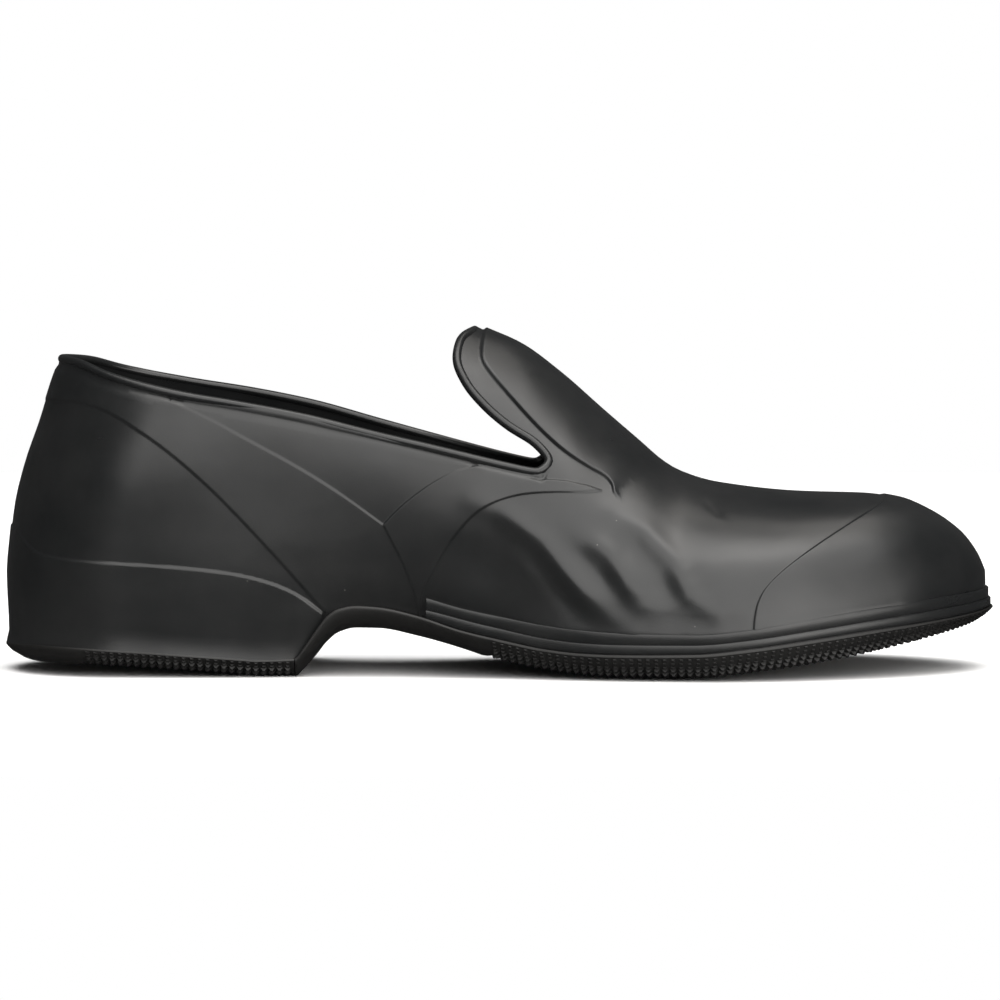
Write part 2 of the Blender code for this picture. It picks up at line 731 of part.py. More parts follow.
def make_panels(panels, cutters):
    """Raise the heel block, the sweep, the wing, the toe cap and the flap's panel."""
    heel_block = HEEL_LINE + base_run(*HEEL_FOOT, 12)
    make_panel(panels, "heel_block", heel_block, HEEL_RISE, cutters)
    sweep = COUNTER_LINE + base_run(*SWEEP_FOOT, 8) + list(reversed(SWEEP_LINE))
    sweep += [Mark(x, collar_height[-1].at(x) - PANEL_MARGIN) for x in SWEEP_COLLAR]
    make_panel(panels, "sweep", sweep + [SWEEP_BACK], SWEEP_RISE, cutters)
    wing = WING_LINE + [Mark(x, collar_height[-1].at(x) - 2 * PANEL_MARGIN) for x in WING_COLLAR]
    lap = [Mark(mark.x - PANEL_LAP, mark.z) for mark in reversed(SWEEP_LINE[6:])]
    make_panel(panels, "wing", wing + GUSSET_LINE + ARC_LINE + lap, WING_RISE, cutters)
    cap_foot = [Mark(x, foxing_top_height(x) + PANEL_MARGIN) for x in CAP_FOOT]
    cap_front = [Mark(CAP_LINE[-1].x, CAP_OVER), Mark(CAP_FRONT, CAP_OVER), Mark(CAP_FRONT, cap_foot[0].z)]
    make_panel(panels, "toe_cap", CAP_LINE + cap_front + cap_foot, CAP_RISE, cutters)
    make_panel(panels, "flap_panel", FLAP_LINE + FLAP_FRONT, flap_rise, cutters)


def make_bead(panels, loop, cutters):
    """Bead rolled round the collar and the flap."""
    curve = bpy.data.curves.new("bead", "CURVE")
    curve.dimensions = "3D"
    curve.bevel_depth = BEAD_RADIUS * MM
    curve.bevel_resolution = 1
    spline = curve.splines.new("POLY")
    spline.points.add(len(loop) - 1)
    for point, place_at in zip(spline.points, loop):
        point.co = (*place_at, 1)
    spline.use_cyclic_u = True
    path = bpy.data.objects.new("bead", curve)
    cutters.objects.link(path)
    graph = bpy.context.evaluated_depsgraph_get()
    mesh = bpy.data.meshes.new_from_object(path.evaluated_get(graph))
    bead = bpy.data.objects.new("bead_solid", mesh)
    cutters.objects.link(bead)
    bpy.data.objects.remove(path, do_unlink=True)
    shape = bmesh.new()
    shape.from_mesh(mesh)
    bmesh.ops.remove_doubles(shape, verts=shape.verts, dist=0.01 * MM)
    bmesh.ops.recalc_face_normals(shape, faces=shape.faces)
    shape.to_mesh(mesh)
    shape.free()
    panels.objects.link(as_cutter(bead))


def rim_middle():
    """Line along the middle of the wall's thickness at the collar and the flap's edge."""
    surface, loop = build_upper_surface()
    surface.normal_update()
    middle = []
    for point in loop:
        vertex = min(surface.verts, key=lambda v: (v.co - point).length_squared)
        middle.append(vertex.co - vertex.normal * WALL * MM / 2)
    surface.free()
    return middle


def build_upper(collection, cutters):
    """Hollow upper with its raised panels and its bead."""
    upper = wall_object("upper", lambda x: 0.0, WALL, collection)
    panels = new_collection("raised_panels")
    make_panels(panels, cutters)
    make_bead(panels, rim_middle(), cutters)
    boolean(upper, panels, "UNION")
    tidy_mesh(upper)
    upper.data.shade_smooth()
    upper.data.set_sharp_from_angle(angle=SHARP_ANGLE)
    upper.data.materials.clear()
    upper.data.materials.append(make_material("upper_rubber", (0.022, 0.024, 0.025), 0.42))
    return upper


def build_sole(name, stations, collection, cutters):
    """Sole sheet with a rim on which the upper stands."""
    sole = ladder_solid(name, sole_rings(stations), collection)
    pocket_start = stations[0] - POCKET_LAP if stations[0] > 0 else POCKET_BACK
    pocket_end = stations[-1] + POCKET_LAP if stations[-1] < LENGTH else POCKET_FRONT
    pocket = build_pocket(name + "_pocket", -WALL - GAP, pocket_start, pocket_end, cutters)
    boolean(sole, pocket, "DIFFERENCE")
    tidy_mesh(sole)
    return sole


def build_foxing(collection, cutters):
    """Stepped band round the forefoot, outside the upper and on the sole's lip."""
    stations = end_stations(FOXING_START, LENGTH, 6, False, True)

    def over_lip(share, lift):
        """Height function at a share of the rise to the middle step, plus a lift."""
        return lambda x: sole_lip.at(x) + lip_clearance(x) + foxing_middle.at(x) * share + lift

    def near_top(drop):
        """Height function below the foxing's top edge."""
        return lambda x: foxing_top_height(x) - drop

    rings = [
        sole_ring(stations, FOXING_LOWER_INSET, over_lip(0.0, 0.0)),
        sole_ring(stations, FOXING_LOWER_INSET, over_lip(1.0, -FOXING_CHAMFER)),
        sole_ring(stations, FOXING_UPPER_INSET, over_lip(1.0, 0.0)),
        sole_ring(stations, FOXING_UPPER_INSET, near_top(FOXING_CHAMFER)),
        sole_ring(stations, FOXING_UPPER_INSET + FOXING_CHAMFER, near_top(0.0)),
    ]
    foxing = ladder_solid("foxing", rings, collection)
    cut_stations = [FOXING_START - 6] + stations[:-1]
    rings = []
    for share in CORE_SHARES:
        lines = []
        for side in (-1, 1):
            line = []
            for x in cut_stations:
                if x > TOE_TIP:
                    continue
                z = upper_base(x) + foxing_top.at(x) * share
                line.append(upper_point(side, x, z, GAP))
            tip = TOE_TIP + GAP
            line.append(Vector((tip, middle_line.at(tip), upper_base(tip) + foxing_top.at(tip) * share)))
            lines.append(line)
        rings.append(lines)
    core = as_cutter(ladder_solid("foxing_core", rings, cutters))
    boolean(foxing, core, "DIFFERENCE")
    tidy_mesh(foxing)
    return foxing


def build_insole(collection):
    """Thin insole that follows the sole's sheet over the breast."""
    stations = [x for x in end_stations(0, LENGTH, 6, True, True)
                if INSOLE_BACK < x < INSOLE_FRONT]
    rings = []
    for lift in (GAP, GAP + INSOLE_THICKNESS):
        lines = []
        for side in (-1, 1):
            line = []
            for x in stations:
                edge = upper_point(side, x, upper_base(x), -WALL - 2 * GAP)
                line.append(Vector((x, edge.y, sole_floor(x) + lift * slope_factor(sole_bottom, x))))
            lines.append(line)
        rings.append(lines)
    return ladder_solid("insole", rings, collection)


def main():
    """Build the overshoe."""
    for thing in list(bpy.data.objects):
        bpy.data.objects.remove(thing, do_unlink=True)
    shoe = new_collection("rubber_overshoe")
    cutters = new_collection("cutters")
    build_upper(shoe, cutters)
    heel = build_sole("heel", end_stations(0, BREAST, 8, True, False), shoe, cutters)
    outsole = build_sole("outsole", end_stations(BREAST + GAP, LENGTH, 5, False, True), shoe, cutters)
    foxing = build_foxing(shoe, cutters)
    insole = build_insole(shoe)
    for thing, colour, roughness in (
        (heel, (0.02, 0.021, 0.022), 0.5),
        (outsole, (0.018, 0.019, 0.02), 0.55),
        (foxing, (0.022, 0.024, 0.025), 0.4),
        (insole, (0.03, 0.03, 0.03), 0.8),
    ):
        thing.data.materials.clear()
        thing.data.materials.append(make_material(thing.name + "_finish", colour, roughness))


main()
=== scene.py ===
"""Looks of a moulded rubber overshoe for a right foot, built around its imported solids.

Sizes are in millimetres from the back of the heel and from the floor, as on the maker's
drawing, and Last.to_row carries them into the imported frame's metres. The shoe points along
+X and its lateral side is -Y.
"""

from __future__ import annotations

import logging
import math
from dataclasses import dataclass, field
from enum import Enum
from typing import Callable, Sequence

import bmesh
import bpy
import numpy as np
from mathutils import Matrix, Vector


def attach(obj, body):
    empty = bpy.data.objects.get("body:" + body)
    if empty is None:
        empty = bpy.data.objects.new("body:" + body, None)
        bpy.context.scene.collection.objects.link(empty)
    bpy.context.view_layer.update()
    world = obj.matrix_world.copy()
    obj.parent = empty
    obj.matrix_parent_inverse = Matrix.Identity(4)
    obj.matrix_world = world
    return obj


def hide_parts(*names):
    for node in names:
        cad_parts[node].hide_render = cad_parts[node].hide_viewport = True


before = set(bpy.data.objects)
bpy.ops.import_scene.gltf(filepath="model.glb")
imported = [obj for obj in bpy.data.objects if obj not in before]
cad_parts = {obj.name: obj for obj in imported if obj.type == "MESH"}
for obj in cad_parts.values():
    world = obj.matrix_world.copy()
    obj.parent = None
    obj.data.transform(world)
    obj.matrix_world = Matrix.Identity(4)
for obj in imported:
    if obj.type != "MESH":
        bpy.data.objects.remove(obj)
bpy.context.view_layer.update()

LOG = logging.getLogger("overshoe")
MM = 0.001
BODY = "root"

Array = np.ndarray
Socket = bpy.types.NodeSocket


class Side(Enum):
    """The two sides of the shoe, by the sign of their Y."""

    LATERAL = -1
    MEDIAL = 1


class Curve:
    """Smooth curve through stations that never overshoots them."""

    def __init__(self, keys: Sequence[float], values: Sequence[float]) -> None:
        """Work out the slopes at the stations.

        Args:
            keys: rising places along the shoe.
            values: the size at each place.
        """
        self.keys = np.array(keys, float)
        self.values = np.array(values, float)
        self.steps = np.diff(self.keys)
        slopes = np.diff(self.values) / self.steps
        product = slopes[:-1] * slopes[1:]
        total = np.where(product > 0, slopes[:-1] + slopes[1:], 1.0)
        inner = np.where(product > 0, 2 * product / total, 0.0)
        self.slopes = np.concatenate([slopes[:1], inner, slopes[-1:]])

    def __call__(self, places: Array) -> Array:
        """Return the size at each place, level beyond the ends.

        Args:
            places: places along the shoe.

        Returns:
            The sizes.
        """
        x = np.clip(places, self.keys[0], self.keys[-1])
        k = np.clip(np.searchsorted(self.keys, x, side="right") - 1, 0, len(self.steps) - 1)
        step = self.steps[k]
        t = (x - self.keys[k]) / step
        return (
            self.values[k] * (1 + 2 * t) * (1 - t) ** 2
            + self.values[k + 1] * t * t * (3 - 2 * t)
            + self.slopes[k] * step * t * (1 - t) ** 2
            + self.slopes[k + 1] * step * t * t * (t - 1)
        )


def curves(rows: Sequence[Sequence[float]]) -> list[Curve]:
    """Return one curve for each column after a table's first, which holds the places."""
    columns = list(zip(*rows))
    return [Curve(columns[0], column) for column in columns[1:]]


def smooth(value: Array) -> Array:
    """Return a soft step from 0 to 1 as value goes from 0 to 1."""
    t = np.clip(value, 0.0, 1.0)
    return t * t * (3 - 2 * t)


@dataclass
class Last:
    """The form that the shoe is moulded on, with the sole's plan and side view.

    Attributes:
        length: length of the whole shoe.
        wall: thickness of the upper's wall.
        heel_radius: rounding of the heel's plan.
        toe_length: length of the toe's rounding.
        toe_power: fullness of that rounding.
        toe_inset: how far the wall stands in from the sole's tip.
        breast: place of the heel's breast.
        notch_base: where the notch's column starts on the sole's edge.
        level_share: height share of the notch's level at the toe.
        level_fade: length over which the level reaches it.
        tuck_fade: half width below which the tuck fades.
        rim_reach: how far the rim's curve pulls on the columns.
        origin_y: the frame's origin across the shoe.
        plan: the plan of the sole.
        edge: the side view of the sole.
        section: the wall's section.
        back: the heel's back.
        collar: the collar in side view.
        rim: the flap's edge in side view.
        foxing: the foxing's steps.
    """

    length: float = 308.4
    wall: float = 1.9
    heel_radius: float = 38.0
    toe_length: float = 100.0
    toe_power: float = 2.1
    toe_inset: float = 2.8
    breast: float = 91.5
    notch_base: float = 160.0
    level_share: float = 0.6
    level_fade: float = 60.0
    tuck_fade: float = 20.0
    rim_reach: float = 49.0
    origin_y: float = -0.1

    # x, middle line, half width of the sole, inset of the upper's wall
    plan: tuple = (
        (0, 0.0, 38.0, 0.9), (38, 0.0, 38.4, 0.9), (60, -0.5, 38.6, 0.9), (90, -0.5, 36.8, 1.0),
        (120, -2.6, 34.4, 1.6), (150, -4.2, 37.8, 2.4), (180, -3.6, 46.2, 2.8),
        (205, -1.4, 52.6, 2.8), (222, -0.2, 55.0, 2.8), (240, 1.0, 55.8, 2.8),
        (260, 2.2, 55.6, 2.8), (280, 3.2, 54.8, 2.8), (308.4, 4.2, 52.0, 2.8),
    )
    # x, underside, lip, rise of the underside towards its edge
    edge: tuple = (
        (0, 5.2, 8.2, 0.0), (6, 4.1, 8.8, 0.0), (12, 3.6, 9.1, 0.0), (22, 3.5, 9.0, 0.0),
        (30, 3.4, 8.7, 0.0), (40, 2.9, 8.2, 0.0), (54, 2.0, 7.3, 0.0), (68, 1.0, 6.3, 0.0),
        (76, 0.3, 5.7, 0.0), (80, 0.0, 5.4, 0.0), (91.5, 0.0, 5.7, 0.0), (94.5, 2.6, 9.2, 0.0),
        (98, 6.5, 14.2, 0.0), (101.5, 10.8, 18.6, 0.0), (105, 13.5, 20.8, 0.0),
        (110, 14.8, 21.7, 0.0), (117, 14.7, 21.3, 0.0), (128.8, 12.5, 18.8, 0.0),
        (142, 9.0, 14.6, 0.0), (155, 4.8, 11.7, 0.2), (167, 2.2, 9.4, 0.6), (178, 0.7, 8.3, 0.8),
        (188, 0.0, 8.0, 0.9), (212, 0.0, 8.3, 0.9), (229, 1.5, 9.8, 0.9), (248, 4.0, 12.2, 0.7),
        (268, 7.5, 14.7, 0.2), (286, 11.1, 16.6, 0.0), (299, 13.9, 18.0, 0.0),
        (308.4, 16.7, 19.2, 0.0),
    )
    # x, crest, widest height, tuck below it, squareness, crest's shift to the medial side
    section: tuple = (
        (0, 150.0, 30.0, 0.6, 2.0, 0.0), (60, 145.0, 30.0, 0.8, 2.0, 0.0),
        (80, 139.0, 34.0, 1.6, 2.0, 0.3), (100, 131.0, 40.0, 2.2, 2.0, 1.0),
        (125, 118.5, 42.0, 2.4, 2.0, 3.0), (147.3, 106.1, 38.0, 1.4, 2.0, 5.5),
        (160.4, 100.2, 33.0, 0.9, 1.9, 6.5), (172.8, 91.1, 28.0, 0.6, 1.85, 6.8),
        (185.3, 80.2, 24.0, 0.6, 1.8, 6.2), (197.8, 70.2, 22.0, 0.4, 1.85, 5.4),
        (210.3, 61.4, 20.0, 0.3, 1.9, 4.0), (222.9, 57.7, 20.0, 0.3, 2.0, 2.6),
        (247.9, 54.9, 22.0, 0.3, 2.2, 1.6), (268, 54.3, 24.0, 0.3, 2.3, 1.0),
        (279.1, 52.7, 24.5, 0.3, 2.3, 0.6), (288.5, 48.8, 25.0, 0.2, 2.3, 0.3),
        (297.9, 42.2, 25.0, 0.1, 2.3, 0.0), (303.0, 35.6, 24.5, 0.0, 2.3, 0.0),
        (305.6, 30.0, 24.0, 0.0, 2.3, 0.0),
    )
    # z, back of the heel
    back: tuple = (
        (0.0, 1.6), (7.0, 1.5), (14.6, 1.3), (30.3, 0.7), (39.7, 1.5), (52.2, 3.1), (64.7, 6.3),
        (77.2, 10.7), (89.6, 14.6), (97.0, 17.4),
    )
    # x, collar on the lateral side, collar on the medial side
    collar: tuple = (
        (17.4, 96.6, 96.6), (24.4, 95.6, 95.8), (34.4, 91.9, 92.9), (54.6, 86.4, 88.6),
        (74.8, 82.9, 85.4), (94.8, 79.0, 81.4), (115.1, 73.9, 75.8), (135.3, 69.3, 70.2),
        (155.3, 64.6, 64.8), (165.6, 62.4, 62.4),
    )
    # share of the way from the notch to the top of the flap, x, z
    rim: tuple = (
        (0, 165.6, 62.4), (0.125, 169.3, 66.0), (0.25, 165.2, 71.4), (0.375, 157.2, 76.4),
        (0.5, 149.6, 82.8), (0.625, 143.8, 89.8), (0.75, 141.0, 96.8), (0.875, 142.2, 102.8),
        (1, 147.3, 106.1),
    )
    # x, middle step of the foxing, its top, both above the lip
    foxing: tuple = (
        (129, 2.4, 6.2), (142, 3.5, 6.8), (167, 3.3, 7.2), (204, 3.0, 6.2), (222, 2.8, 5.8),
        (249, 3.0, 6.6), (284, 3.2, 6.9), (308.4, 3.0, 6.2),
    )

    def __post_init__(self) -> None:
        """Make the curves of the tables."""
        self.middle, self.sole_half, self.inset = curves(self.plan)
        self.bottom, self.lip, self.crown = curves(self.edge)
        self.crest, self.widest, self.tuck, self.square, self.shift = curves(self.section)
        (self.heel_back,) = curves(self.back)
        self.collar_lateral, self.collar_medial = curves(self.collar)
        self.rim_x, self.rim_z = curves(self.rim)
        self.foxing_middle, self.foxing_top = curves(self.foxing)
        self.toe_tip = self.length - self.toe_inset
        self.back_start = float(self.heel_back(self.lip(np.array(0.0))))
        self.notch_x = self.rim[0][1]
        self.ridge_start = self.rim[-1][1]
        self.collar_back = self.collar[0][0]

    def to_row(self, points: Array) -> Array:
        """Turn shoe points in millimetres into row points in metres."""
        shift = np.array([self.length / 2, self.origin_y, 0.0])
        return (points - shift) * MM

    def heel_rounding(self, distance: Array) -> Array:
        """Return the share of the full width at a distance from the heel's back."""
        t = np.clip(distance / self.heel_radius, 0.0, 1.0)
        return np.sqrt(1 - (1 - t) ** 2)

    def toe_rounding(self, distance: Array) -> Array:
        """Return the share of the full width at a distance from the toe's tip."""
        t = np.clip(1 - distance / self.toe_length, 0.0, 1.0)
        return np.sqrt(1 - t ** self.toe_power)

    def wall_point(self, sign: Array, x: Array, z: Array) -> Array:
        """Return the points of the upper's outer face.

        Args:
            sign: -1 to 1, whose sign picks the side.
            x: places along the shoe.
            z: heights.

        Returns:
            Points with their three numbers along the last axis.
        """
        half = self.sole_half(x) - self.inset(x)
        half = half * self.heel_rounding(x - self.heel_back(z)) * self.toe_rounding(self.toe_tip - x)
        widest, crest, base = self.widest(x), self.crest(x), self.lip(x)
        rise = np.clip((z - widest) / (crest - widest), 0.0, 1.0)
        power = self.square(x)
        above = half * (1 - rise ** power) ** (1 / power)
        fall = (widest - z) / (widest - base)
        below = half - self.tuck(x) * fall * fall * np.minimum(half / self.tuck_fade, 1.0)
        width = np.maximum(np.where(z >= widest, above, below), 0.0)
        middle = self.middle(x) + self.shift(x) * rise ** 1.5
        return np.stack([x, middle + np.sign(sign) * width, z], axis=-1)

    def level(self, base_x: Array) -> tuple[Array, Array, Array]:
        """Return the place, height and height share of the level from the notch to the toe.

        Args:
            base_x: where each column starts on the sole's edge.

        Returns:
            The places, the heights and the height shares.
        """
        stretch = (self.toe_tip - self.notch_x) / (self.toe_tip - self.notch_base)
        x = self.notch_x + (base_x - self.notch_base) * stretch
        notch = np.array(self.notch_x)
        notch_share = (self.rim[0][2] - self.lip(notch)) / (self.crest(notch) - self.lip(notch))
        fade = np.clip((x - self.notch_x) / self.level_fade, 0.0, 1.0)
        share = notch_share + (self.level_share - notch_share) * fade
        return x, self.lip(x) + (self.crest(x) - self.lip(x)) * share, share

    def wall_column(self, sign: Array, base_x: Array, climb: Array) -> Array:
        """Return wall points by their column and how far up it they are.

        Args:
            sign: -1 to 1, whose sign picks the side.
            base_x: where the column starts on the sole's edge.
            climb: 0 at the sole, 1 at the collar or the notch's level, 2 at the crest.

        Returns:
            Points with their three numbers along the last axis.
        """
        share = np.clip(climb, 0.0, 1.0)
        base_z = self.lip(base_x)
        span = self.notch_base - self.back_start
        rear_x = self.collar_back + (base_x - self.back_start) * (self.notch_x - self.collar_back) / span
        rear_z = np.where(sign < 0, self.collar_lateral(rear_x), self.collar_medial(rear_x))
        front_x, front_z, front_share = self.level(base_x)
        rear = base_x <= self.notch_base
        top_x = np.where(rear, rear_x, front_x)
        top_z = np.where(rear, rear_z, front_z)
        z = base_z + (top_z - base_z) * share
        x = base_x + (top_x - base_x) * share
        lean = self.heel_back(z) - self.back_start - (self.collar_back - self.back_start) * share
        inner = np.clip(1 - (base_x - self.back_start) / (self.heel_radius - self.back_start), 0, 1)
        x = x + lean * inner
        upper_x, upper_z = self.crest_column(base_x, np.clip(climb - 1, 0.0, 1.0), front_x, front_share)
        over = climb > 1
        return self.wall_point(sign, np.where(over, upper_x, x), np.where(over, upper_z, z))

    def crest_column(self, base_x: Array, share: Array, start_x: Array, start_share: Array) -> tuple:
        """Return the places and heights of a column between the notch's level and the crest.

        Args:
            base_x: where each column starts on the sole's edge.
            share: share of the way, 0 to 1.
            start_x: place of each column at the notch's level.
            start_share: height share there.

        Returns:
            The places and the heights.
        """
        stretch = (self.toe_tip - self.ridge_start) / (self.toe_tip - self.notch_base)
        ridge_x = self.ridge_start + (base_x - self.notch_base) * stretch
        x = start_x + (ridge_x - start_x) * share
        height_share = start_share + (1 - start_share) * np.sin(share * math.pi / 2)
        pull = np.clip(1 - (base_x - self.notch_base) / self.rim_reach, 0.0, 1.0) ** 2
        straight = self.notch_x + (self.ridge_start - self.notch_x) * share
        rim_x = self.rim_x(share)
        x = x + (rim_x - straight) * pull
        rim_base = self.lip(rim_x)
        rim_share = (self.rim_z(share) - rim_base) / (self.crest(rim_x) - rim_base)
        height_share = height_share + (rim_share - height_share) * pull
        height_share = np.where(share >= 1, 1.0, height_share)
        base = self.lip(x)
        return x, base + (self.crest(x) - base) * height_share

    def outline(self, sign: float, x: Array) -> Array:
        """Return plan points of the sole's edge, two numbers each."""
        half = self.sole_half(x) * self.heel_rounding(x) * self.toe_rounding(self.length - x)
        return np.stack([x, self.middle(x) + sign * half], axis=-1)

    def inner_line(self, sign: float, x: Array, inset: Array) -> Array:
        """Return plan points set in square from the sole's edge.

        Args:
            sign: -1 for the lateral side, 1 for the medial side.
            x: places along the shoe.
            inset: how far in each point is set.

        Returns:
            Plan points, two numbers each.
        """
        step = 0.05
        ahead = self.outline(sign, np.minimum(x + step, self.length))
        behind = self.outline(sign, np.maximum(x - step, 0.0))
        along = ahead - behind
        along /= np.linalg.norm(along, axis=-1, keepdims=True)
        inward = np.stack([along[..., 1], -along[..., 0]], axis=-1) * sign
        point = self.outline(sign, x) + inward * np.asarray(inset)[..., None]
        ends = (x <= 0.0) | (x >= self.length)
        tips = np.where(x <= 0.0, inset, self.length - inset)
        point[..., 0] = np.where(ends, tips, point[..., 0])
        point[..., 1] = np.where(ends, self.middle(x), point[..., 1])
        point[..., 0] = np.where(np.abs(x - self.breast) < 1.0, x, point[..., 0])
        return point

    def stations(self, start: float, end: float, step: float) -> Array:
        """Return places along the shoe, closer together round the heel, the breast and the toe.

        Args:
            start: first place.
            end: last place.
            step: distance from point to point.

        Returns:
            The places, rising.
        """
        heel_end, toe_start = 34.0, self.length - 40.0
        heel_steps, toe_steps = int(54 / step), int(70 / step)
        breast_run, breast_step, least = (86.0, 118.0), 0.9, 0.04
        marks = [np.array([start, end])]
        if start <= 0:
            marks.append(heel_end * (1 - np.cos(np.linspace(0, math.pi / 2, heel_steps))))
        if end >= self.length:
            fan = np.sin(np.linspace(0, math.pi / 2, toe_steps))
            marks.append(toe_start + (self.length - toe_start) * fan)
        low, high = max(start, heel_end if start <= 0 else start), min(end, toe_start)
        marks.append(np.arange(low, high, step))
        marks.append(np.arange(*breast_run, breast_step))
        places = np.unique(np.round(np.concatenate(marks), 3))
        places = places[(places >= start) & (places <= end)]
        keep = np.concatenate([[True], np.diff(places) > least])
        return places[keep]


LAST = Last()


@dataclass(frozen=True)
class Panel:
    """A raised field of the wall, bounded in side view.

    Attributes:
        outline: corners in x and z.
        rise: how far it stands proud.
        edge: width of the soft step at its border.
        fades: whether the rise dies away towards the toe, as the flap's does.
        fade_heights: heights for which the fade's start is given.
        fade_starts: where the fade begins at those heights.
        reach_heights: heights for which the fade's length is given.
        fade_reaches: the fade's length at those heights.
    """

    outline: tuple
    rise: float
    edge: float = 0.5
    fades: bool = False
    fade_heights: tuple = (57.0, 70.0)
    fade_starts: tuple = (186.5, 180.0)
    reach_heights: tuple = (57.0, 72.0)
    fade_reaches: tuple = (5.0, 34.0)

    def relief(self, x: Array, z: Array) -> Array:
        """Return the rise at each place in side view.

        Args:
            x: places along the shoe.
            z: heights.

        Returns:
            The rises.
        """
        depth = inside_distance(x, z, self.outline)
        rise = self.rise * smooth(depth / self.edge + 0.5)
        if self.fades:
            start = np.interp(z, self.fade_heights, self.fade_starts)
            reach = np.interp(z, self.reach_heights, self.fade_reaches)
            rise = rise * (1 - smooth((x - start) / reach))
        return rise


@dataclass(frozen=True)
class Crease:
    """A soft ridge or trough of the vamp along a line in side view.

    Attributes:
        line: its marks in x and z.
        width: its half width.
        height: its height, below zero for a trough.
    """

    line: tuple
    width: float
    height: float

    def relief(self, x: Array, z: Array) -> Array:
        """Return the height of the crease at each place in side view.

        Args:
            x: places along the shoe.
            z: heights.

        Returns:
            The heights.
        """
        distance, along = line_distance(x, z, self.line)
        taper = smooth(along / 0.3) * smooth((1 - along) / 0.3)
        return self.height * np.exp(-((distance / self.width) ** 2)) * (0.25 + 0.75 * taper)


@dataclass(frozen=True)
class Swell:
    """A soft swelling or hollow left by the hand in the moulded wall.

    Attributes:
        middle: its place in x and z.
        radius: its reach.
        height: its height, below zero for a hollow.
    """

    middle: tuple
    radius: float
    height: float

    def relief(self, x: Array, z: Array) -> Array:
        """Return the height of the swelling at each place in side view."""
        distance = np.hypot(x - self.middle[0], z - self.middle[1])
        return self.height * np.exp(-((distance / self.radius) ** 2))


def line_distance(x: Array, z: Array, line: Sequence) -> tuple[Array, Array]:
    """Return the distance to a line of straight runs, and the share of its length there.

    Args:
        x: places along the shoe.
        z: heights.
        line: marks in x and z.

    Returns:
        The distances, and the shares of the length.
    """
    marks = np.array(line, float)
    lengths = np.linalg.norm(np.diff(marks, axis=0), axis=1)
    starts = np.concatenate([[0.0], np.cumsum(lengths)])
    best = np.full(np.shape(x), np.inf)
    share = np.zeros(np.shape(x))
    for i, (a, b) in enumerate(zip(marks[:-1], marks[1:])):
        run = b - a
        t = np.clip(((x - a[0]) * run[0] + (z - a[1]) * run[1]) / (run @ run), 0.0, 1.0)
        distance = np.hypot(x - a[0] - t * run[0], z - a[1] - t * run[1])
        nearer = distance < best
        best = np.where(nearer, distance, best)
        share = np.where(nearer, (starts[i] + t * lengths[i]) / starts[-1], share)
    return best, share


def inside_distance(x: Array, z: Array, outline: Sequence) -> Array:
    """Return the distance to a closed outline, above zero inside it.

    Args:
        x: places along the shoe.
        z: heights.
        outline: corners in x and z.

    Returns:
        The distances, below zero outside.
    """
    marks = np.array(outline, float)
    inside = np.zeros(np.shape(x), bool)
    for a, b in zip(marks, np.roll(marks, -1, axis=0)):
        crosses = (a[1] > z) != (b[1] > z)
        if a[1] != b[1]:
            at = a[0] + (z - a[1]) * (b[0] - a[0]) / (b[1] - a[1])
            inside ^= crosses & (x < at)
    distance, _ = line_distance(x, z, [*outline, outline[0]])
    return np.where(inside, distance, -distance)


def rounded(line: Sequence, times: int = 2) -> tuple:
    """Round the corners of a line of marks by cutting them, ends kept.

    Args:
        line: marks in x and z.
        times: how often the corners are eased.

    Returns:
        The new marks.
    """
    marks = np.array(line, float)
    for _ in range(times):
        low = marks[:-1] * 0.75 + marks[1:] * 0.25
        high = marks[:-1] * 0.25 + marks[1:] * 0.75
        inner = np.stack([low, high], axis=1).reshape(-1, 2)
        marks = np.concatenate([marks[:1], inner[1:-1], marks[-1:]])
    return tuple(map(tuple, marks))


